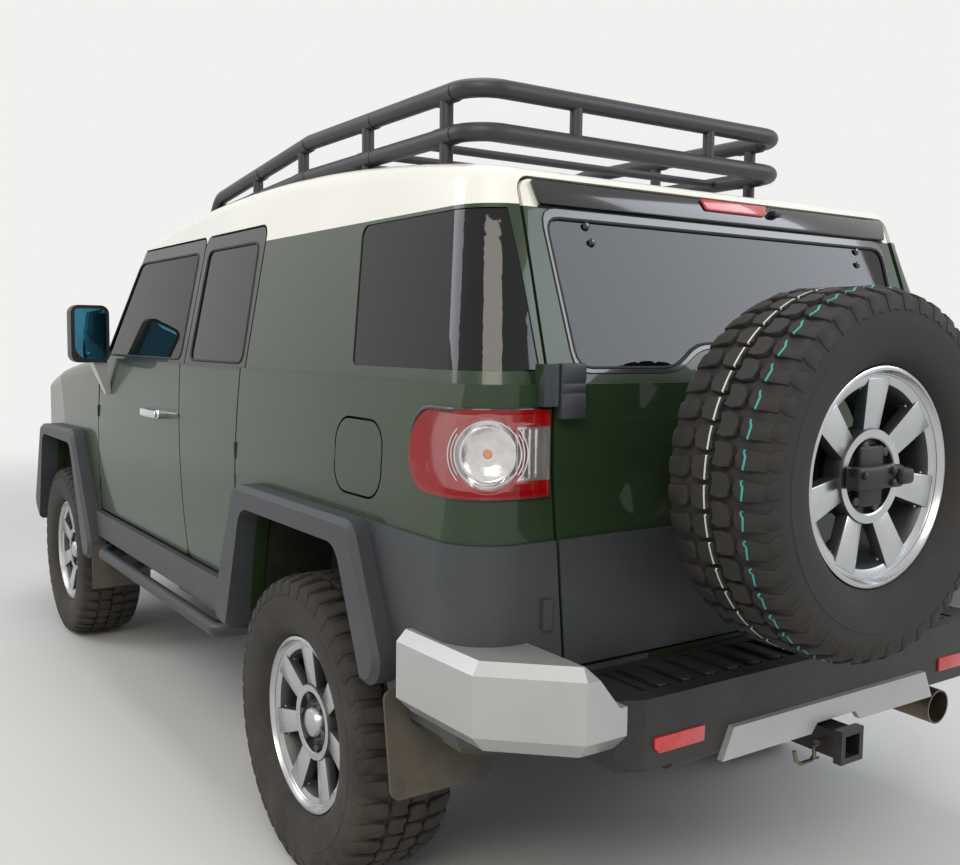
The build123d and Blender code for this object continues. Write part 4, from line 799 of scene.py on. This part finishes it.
# Door handles and mirror glass
handle_x = door_split + 0.190
for side, hand in ((1, "left"), (-1, "right")):
    grip = plate([(handle_x + u, side * 0.9285, 1.150 + v)
                  for u, v in rounded_outline([(-0.092, -0.014), (0.092, -0.014), (0.092, 0.014),
                                               (-0.092, 0.014)], 0.013)], (0, side * 0.006, 0), 0.0028)
    finished(grip, "handle_cover_" + hand, f"front_door_{hand}_body", [chrome])
    glass = plate([(front_x - 0.7505, side * (0.969 + u), 1.435 + v)
                   for u, v in rounded_outline([(-0.062, -0.104), (0.030, -0.104), (0.062, -0.070),
                                                (0.062, 0.104), (-0.062, 0.104)], 0.022)], (-0.003, 0, 0),
                  0.001)
    finished(glass, "mirror_glass_" + hand, f"front_door_{hand}_body", [mirror_glass])

# Rear bumper: reflectors, step pads, tow pin and chain loop
for side, hand in ((1, "left"), (-1, "right")):
    reflex = plate([(rear_x - 0.976, side * y, z) for y, z in ((0.430, 0.583), (0.562, 0.583), (0.575, 0.596),
                                                              (0.575, 0.618), (0.430, 0.618))],
                   (-0.0075, 0, 0), 0.0025)
    finished(reflex, "bumper_reflector_" + hand, "chassis_and_body", [red_reflex])
ribs = [plate([(rear_x - 0.868 + u, y + v, 0.7005) for u, v in rounded_outline(
    [(-0.067, -0.015), (0.067, -0.015), (0.067, 0.015), (-0.067, 0.015)], 0.015)], (0, 0, 0.006), 0.002)
        for y in [-0.504 + 0.072 * n for n in range(15)]]
finished(merged(ribs), "bumper_step_pads", "chassis_and_body", [black_plastic])
pin_x = rear_x - 0.985
tow_pin = [pipe([(pin_x, -0.055, 0.498), (pin_x, 0.058, 0.498)], 0.008),
           pipe([(pin_x, 0.056, 0.498), (pin_x, 0.070, 0.488), (pin_x, 0.066, 0.462),
                 (pin_x, 0.050, 0.462)], 0.003)]
# The safety-chain loop under the tow socket: forward by a distance, across, height
loop = [(0.030, 0.100, 0.478), (0.025, 0.098, 0.456), (0.023, 0.084, 0.446), (0.023, 0.046, 0.446),
        (0.025, 0.032, 0.456), (0.030, 0.030, 0.478)]
tow_pin.append(pipe([(pin_x + forward, y, z) for forward, y, z in loop], 0.005))
finished(merged(tow_pin), "tow_pin", "chassis_and_body", [steel])

# Roof rack: sleeves over the tube joints
rack_rear = rear_x - 0.290
rack_knee = rack_rear + 0.950
sleeves = []
for x in (rack_rear + 0.130, rack_rear + 0.560, rack_rear + 1.010, rack_rear + 1.400):
    for side in (-1, 1):
        drop_low = max(0, x - rack_knee) * 0.05
        drop_high = max(0, x - rack_knee) * 0.11
        for height, slope, drop in ((1.950, 0.05, drop_low), (2.056, 0.11, drop_high)):
            lean = slope if x > rack_knee else 0
            sleeves.append(pipe([(x - 0.045, side * 0.575, height - drop + 0.045 * lean),
                                 (x - 0.040, side * 0.575, height - drop + 0.040 * lean),
                                 (x + 0.040, side * 0.575, height - drop - 0.040 * lean),
                                 (x + 0.045, side * 0.575, height - drop - 0.045 * lean)], 0.0255, 6))
finished(merged(sleeves), "rack_sleeves", "chassis_and_body", [powder_coat])

# Interior: padded seats, steering wheel stays as it is


def pad(width, length, thick, channels, fill):
    # A crowned cushion in its own axes: X along, Y across, Z out of the face
    bpy.ops.object.select_all(action="DESELECT")
    bpy.ops.mesh.primitive_cube_add(size=2)
    made = bpy.context.object
    bpy.ops.object.mode_set(mode="EDIT")
    bpy.ops.mesh.select_all(action="SELECT")
    bpy.ops.mesh.subdivide(number_cuts=15)
    bpy.ops.object.mode_set(mode="OBJECT")
    for vertex in made.data.vertices:
        u, v, w = vertex.co
        pull = 1 - 0.05 * (1 - u * u) * abs(v) ** 6 - 0.05 * (1 - v * v) * abs(u) ** 6
        soft = ((1 - abs(u) ** 5) * (1 - abs(v) ** 5)) ** 0.5
        groove = min([abs(v - c) for c in channels] or [1])
        sunk = 0.10 * max(0, 1 - (groove / 0.07) ** 2) if w > 0 else 0
        swell = 0.72 + 0.28 * soft + (fill * 0.12 * (1 - u * u) * (1 - v * v) if w > 0 else 0) - sunk
        vertex.co = (u * pull * length / 2, v * pull * width / 2, w * swell * thick / 2)
    smooth = made.modifiers.new("smooth", "SUBSURF")
    smooth.levels = 1
    smooth.render_levels = 1
    bpy.ops.object.modifier_apply(modifier=smooth.name)
    return made


seat_pads = [
    # Columns: name, width, length, thickness, channels, X, Y, Z, tilt of the face from level
    ("driver_cushion", 0.49, 0.50, 0.165, (-0.55, 0.55), 0.200, 0.390, 0.885, -0.05),
    ("driver_backrest", 0.49, 0.66, 0.140, (-0.55, 0.55), -0.120, 0.390, 1.160, 1.78),
    ("passenger_cushion", 0.49, 0.50, 0.165, (-0.55, 0.55), 0.200, -0.390, 0.885, -0.05),
    ("passenger_backrest", 0.49, 0.66, 0.140, (-0.55, 0.55), -0.120, -0.390, 1.160, 1.78),
    ("driver_headrest", 0.25, 0.16, 0.090, (), -0.268, 0.390, 1.558, 1.70),
    ("passenger_headrest", 0.25, 0.16, 0.090, (), -0.268, -0.390, 1.558, 1.70),
    ("bench_cushion", 1.16, 0.42, 0.150, (-0.33, 0.33), -0.500, 0.0, 0.895, -0.05),
    ("bench_backrest", 1.16, 0.56, 0.120, (-0.33, 0.33), -0.778, 0.0, 1.130, 1.80),
]
for name, width, length, thick, channels, x, y, z, tilt in seat_pads:
    cushion = pad(width, length, thick, channels, 0.8)
    cushion.data.transform(Matrix.Translation((x, y, z)) @ Matrix.Rotation(-tilt, 4, "Y"))
    cushion = finished(cushion, name, "chassis_and_body", [cloth], 60)
    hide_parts("seats")
bases = [block((0.030, side * 0.39 - 0.19, 0.641), (0.380, side * 0.39 + 0.19, 0.815), 0.012)
         for side in (-1, 1)]
bases.append(block((-0.660, -0.52, 0.641), (-0.340, 0.52, 0.830), 0.012))
finished(merged(bases), "seat_bases", "chassis_and_body", [black_plastic])

# Stage, light and camera
bpy.ops.object.select_all(action="DESELECT")
bpy.ops.mesh.primitive_plane_add(size=60, location=(0, 0, 0))
floor = bpy.context.object
floor.name = "floor"
floor_finish = bpy.data.materials.new("pale_floor")
floor_finish.use_nodes = True
floor_skin = floor_finish.node_tree.nodes["Principled BSDF"]
floor_skin.inputs["Base Color"].default_value = srgb("d6d5d1")
floor_skin.inputs["Roughness"].default_value = 0.85
# Far from the vehicle the floor takes the backdrop's colour, so that no horizon shows
ground = floor_finish.node_tree
away = add_node(ground, "ShaderNodeVectorMath",
                {0: add_node(ground, "ShaderNodeTexCoord").outputs["Object"]}, operation="LENGTH")
fade = add_node(ground, "ShaderNodeMapRange", {"Value": away.outputs["Value"], "From Min": 3.5,
                                               "From Max": 11.0}, interpolation_type="SMOOTHSTEP")
glow = add_node(ground, "ShaderNodeEmission", {"Color": srgb("f1f1ef"), "Strength": 1.0})
mingled = add_node(ground, "ShaderNodeMixShader", {0: fade.outputs["Result"],
                                                   1: floor_skin.outputs["BSDF"], 2: glow.outputs[0]})
ground.links.new(mingled.outputs[0], ground.nodes["Material Output"].inputs["Surface"])
floor.data.materials.append(floor_finish)

world = bpy.data.worlds.new("studio")
bpy.context.scene.world = world
world.use_nodes = True
sky = world.node_tree
for old in list(sky.nodes):
    sky.nodes.remove(old)
rays = add_node(sky, "ShaderNodeLightPath")
seen = add_node(sky, "ShaderNodeMath", {0: rays.outputs["Is Camera Ray"],
                                         1: rays.outputs["Is Transmission Ray"]}, operation="MAXIMUM")
seen = add_node(sky, "ShaderNodeMath", {0: seen.outputs[0], 1: rays.outputs["Is Glossy Ray"]},
                operation="MAXIMUM")
ambient = add_node(sky, "ShaderNodeBackground", {"Color": srgb("dfe4ea"), "Strength": 0.62})
backdrop = add_node(sky, "ShaderNodeBackground", {"Color": srgb("f1f1ef"), "Strength": 1.0})
choice = add_node(sky, "ShaderNodeMixShader", {0: seen.outputs[0], 1: ambient.outputs[0],
                                               2: backdrop.outputs[0]})
add_node(sky, "ShaderNodeOutputWorld", {"Surface": choice.outputs[0]})

# Columns: place, point it faces, width, height, power, colour
soft_boxes = [
    ((-5.5, 4.5, 5.5), (-0.8, 0.3, 0.9), 4.0, 3.0, 260, "fff6ea"),
    ((-6.0, -4.5, 4.5), (-1.2, 0.0, 1.0), 4.0, 3.0, 170, "eef4ff"),
    ((3.5, 5.5, 5.0), (0.8, 0.2, 0.8), 4.0, 3.0, 150, "f4f7ff"),
    ((0.0, 0.0, 7.0), (0.0, 0.0, 1.0), 5.0, 3.0, 150, "ffffff"),
]
for number, (place, target, width, height, power, colour) in enumerate(soft_boxes):
    light = bpy.data.lights.new(f"soft_box_{number}", "AREA")
    light.shape = "RECTANGLE"
    light.size = width
    light.size_y = height
    light.energy = power
    light.color = srgb(colour)[:3]
    holder = bpy.data.objects.new(light.name, light)
    bpy.context.scene.collection.objects.link(holder)
    holder.location = place
    holder.rotation_euler = (Vector(target) - Vector(place)).to_track_quat("-Z", "Y").to_euler()

# Camera as in the photograph: behind, left, at standing height
yaw, pitch, roll = -0.5966, -0.0883, 0.0119
look = Vector((cos(pitch) * cos(yaw), cos(pitch) * sin(yaw), sin(pitch)))
level_right = look.cross(Vector((0, 0, 1))).normalized()
level_up = level_right.cross(look)
right = cos(roll) * level_right + sin(roll) * level_up
up = cos(roll) * level_up - sin(roll) * level_right
lens = bpy.data.cameras.new("camera")
lens.sensor_fit = "HORIZONTAL"
lens.sensor_width = 36.0
lens.lens = 36.0 * 1029.59 / 960
lens.clip_end = 100
camera = bpy.data.objects.new("camera", lens)
bpy.context.scene.collection.objects.link(camera)
turned = Matrix((right, up, -look)).transposed().to_4x4()
camera.matrix_world = Matrix.Translation((-3.6519, 2.0257, 1.4235)) @ turned
bpy.context.scene.camera = camera
bpy.context.scene.view_settings.view_transform = "Standard"
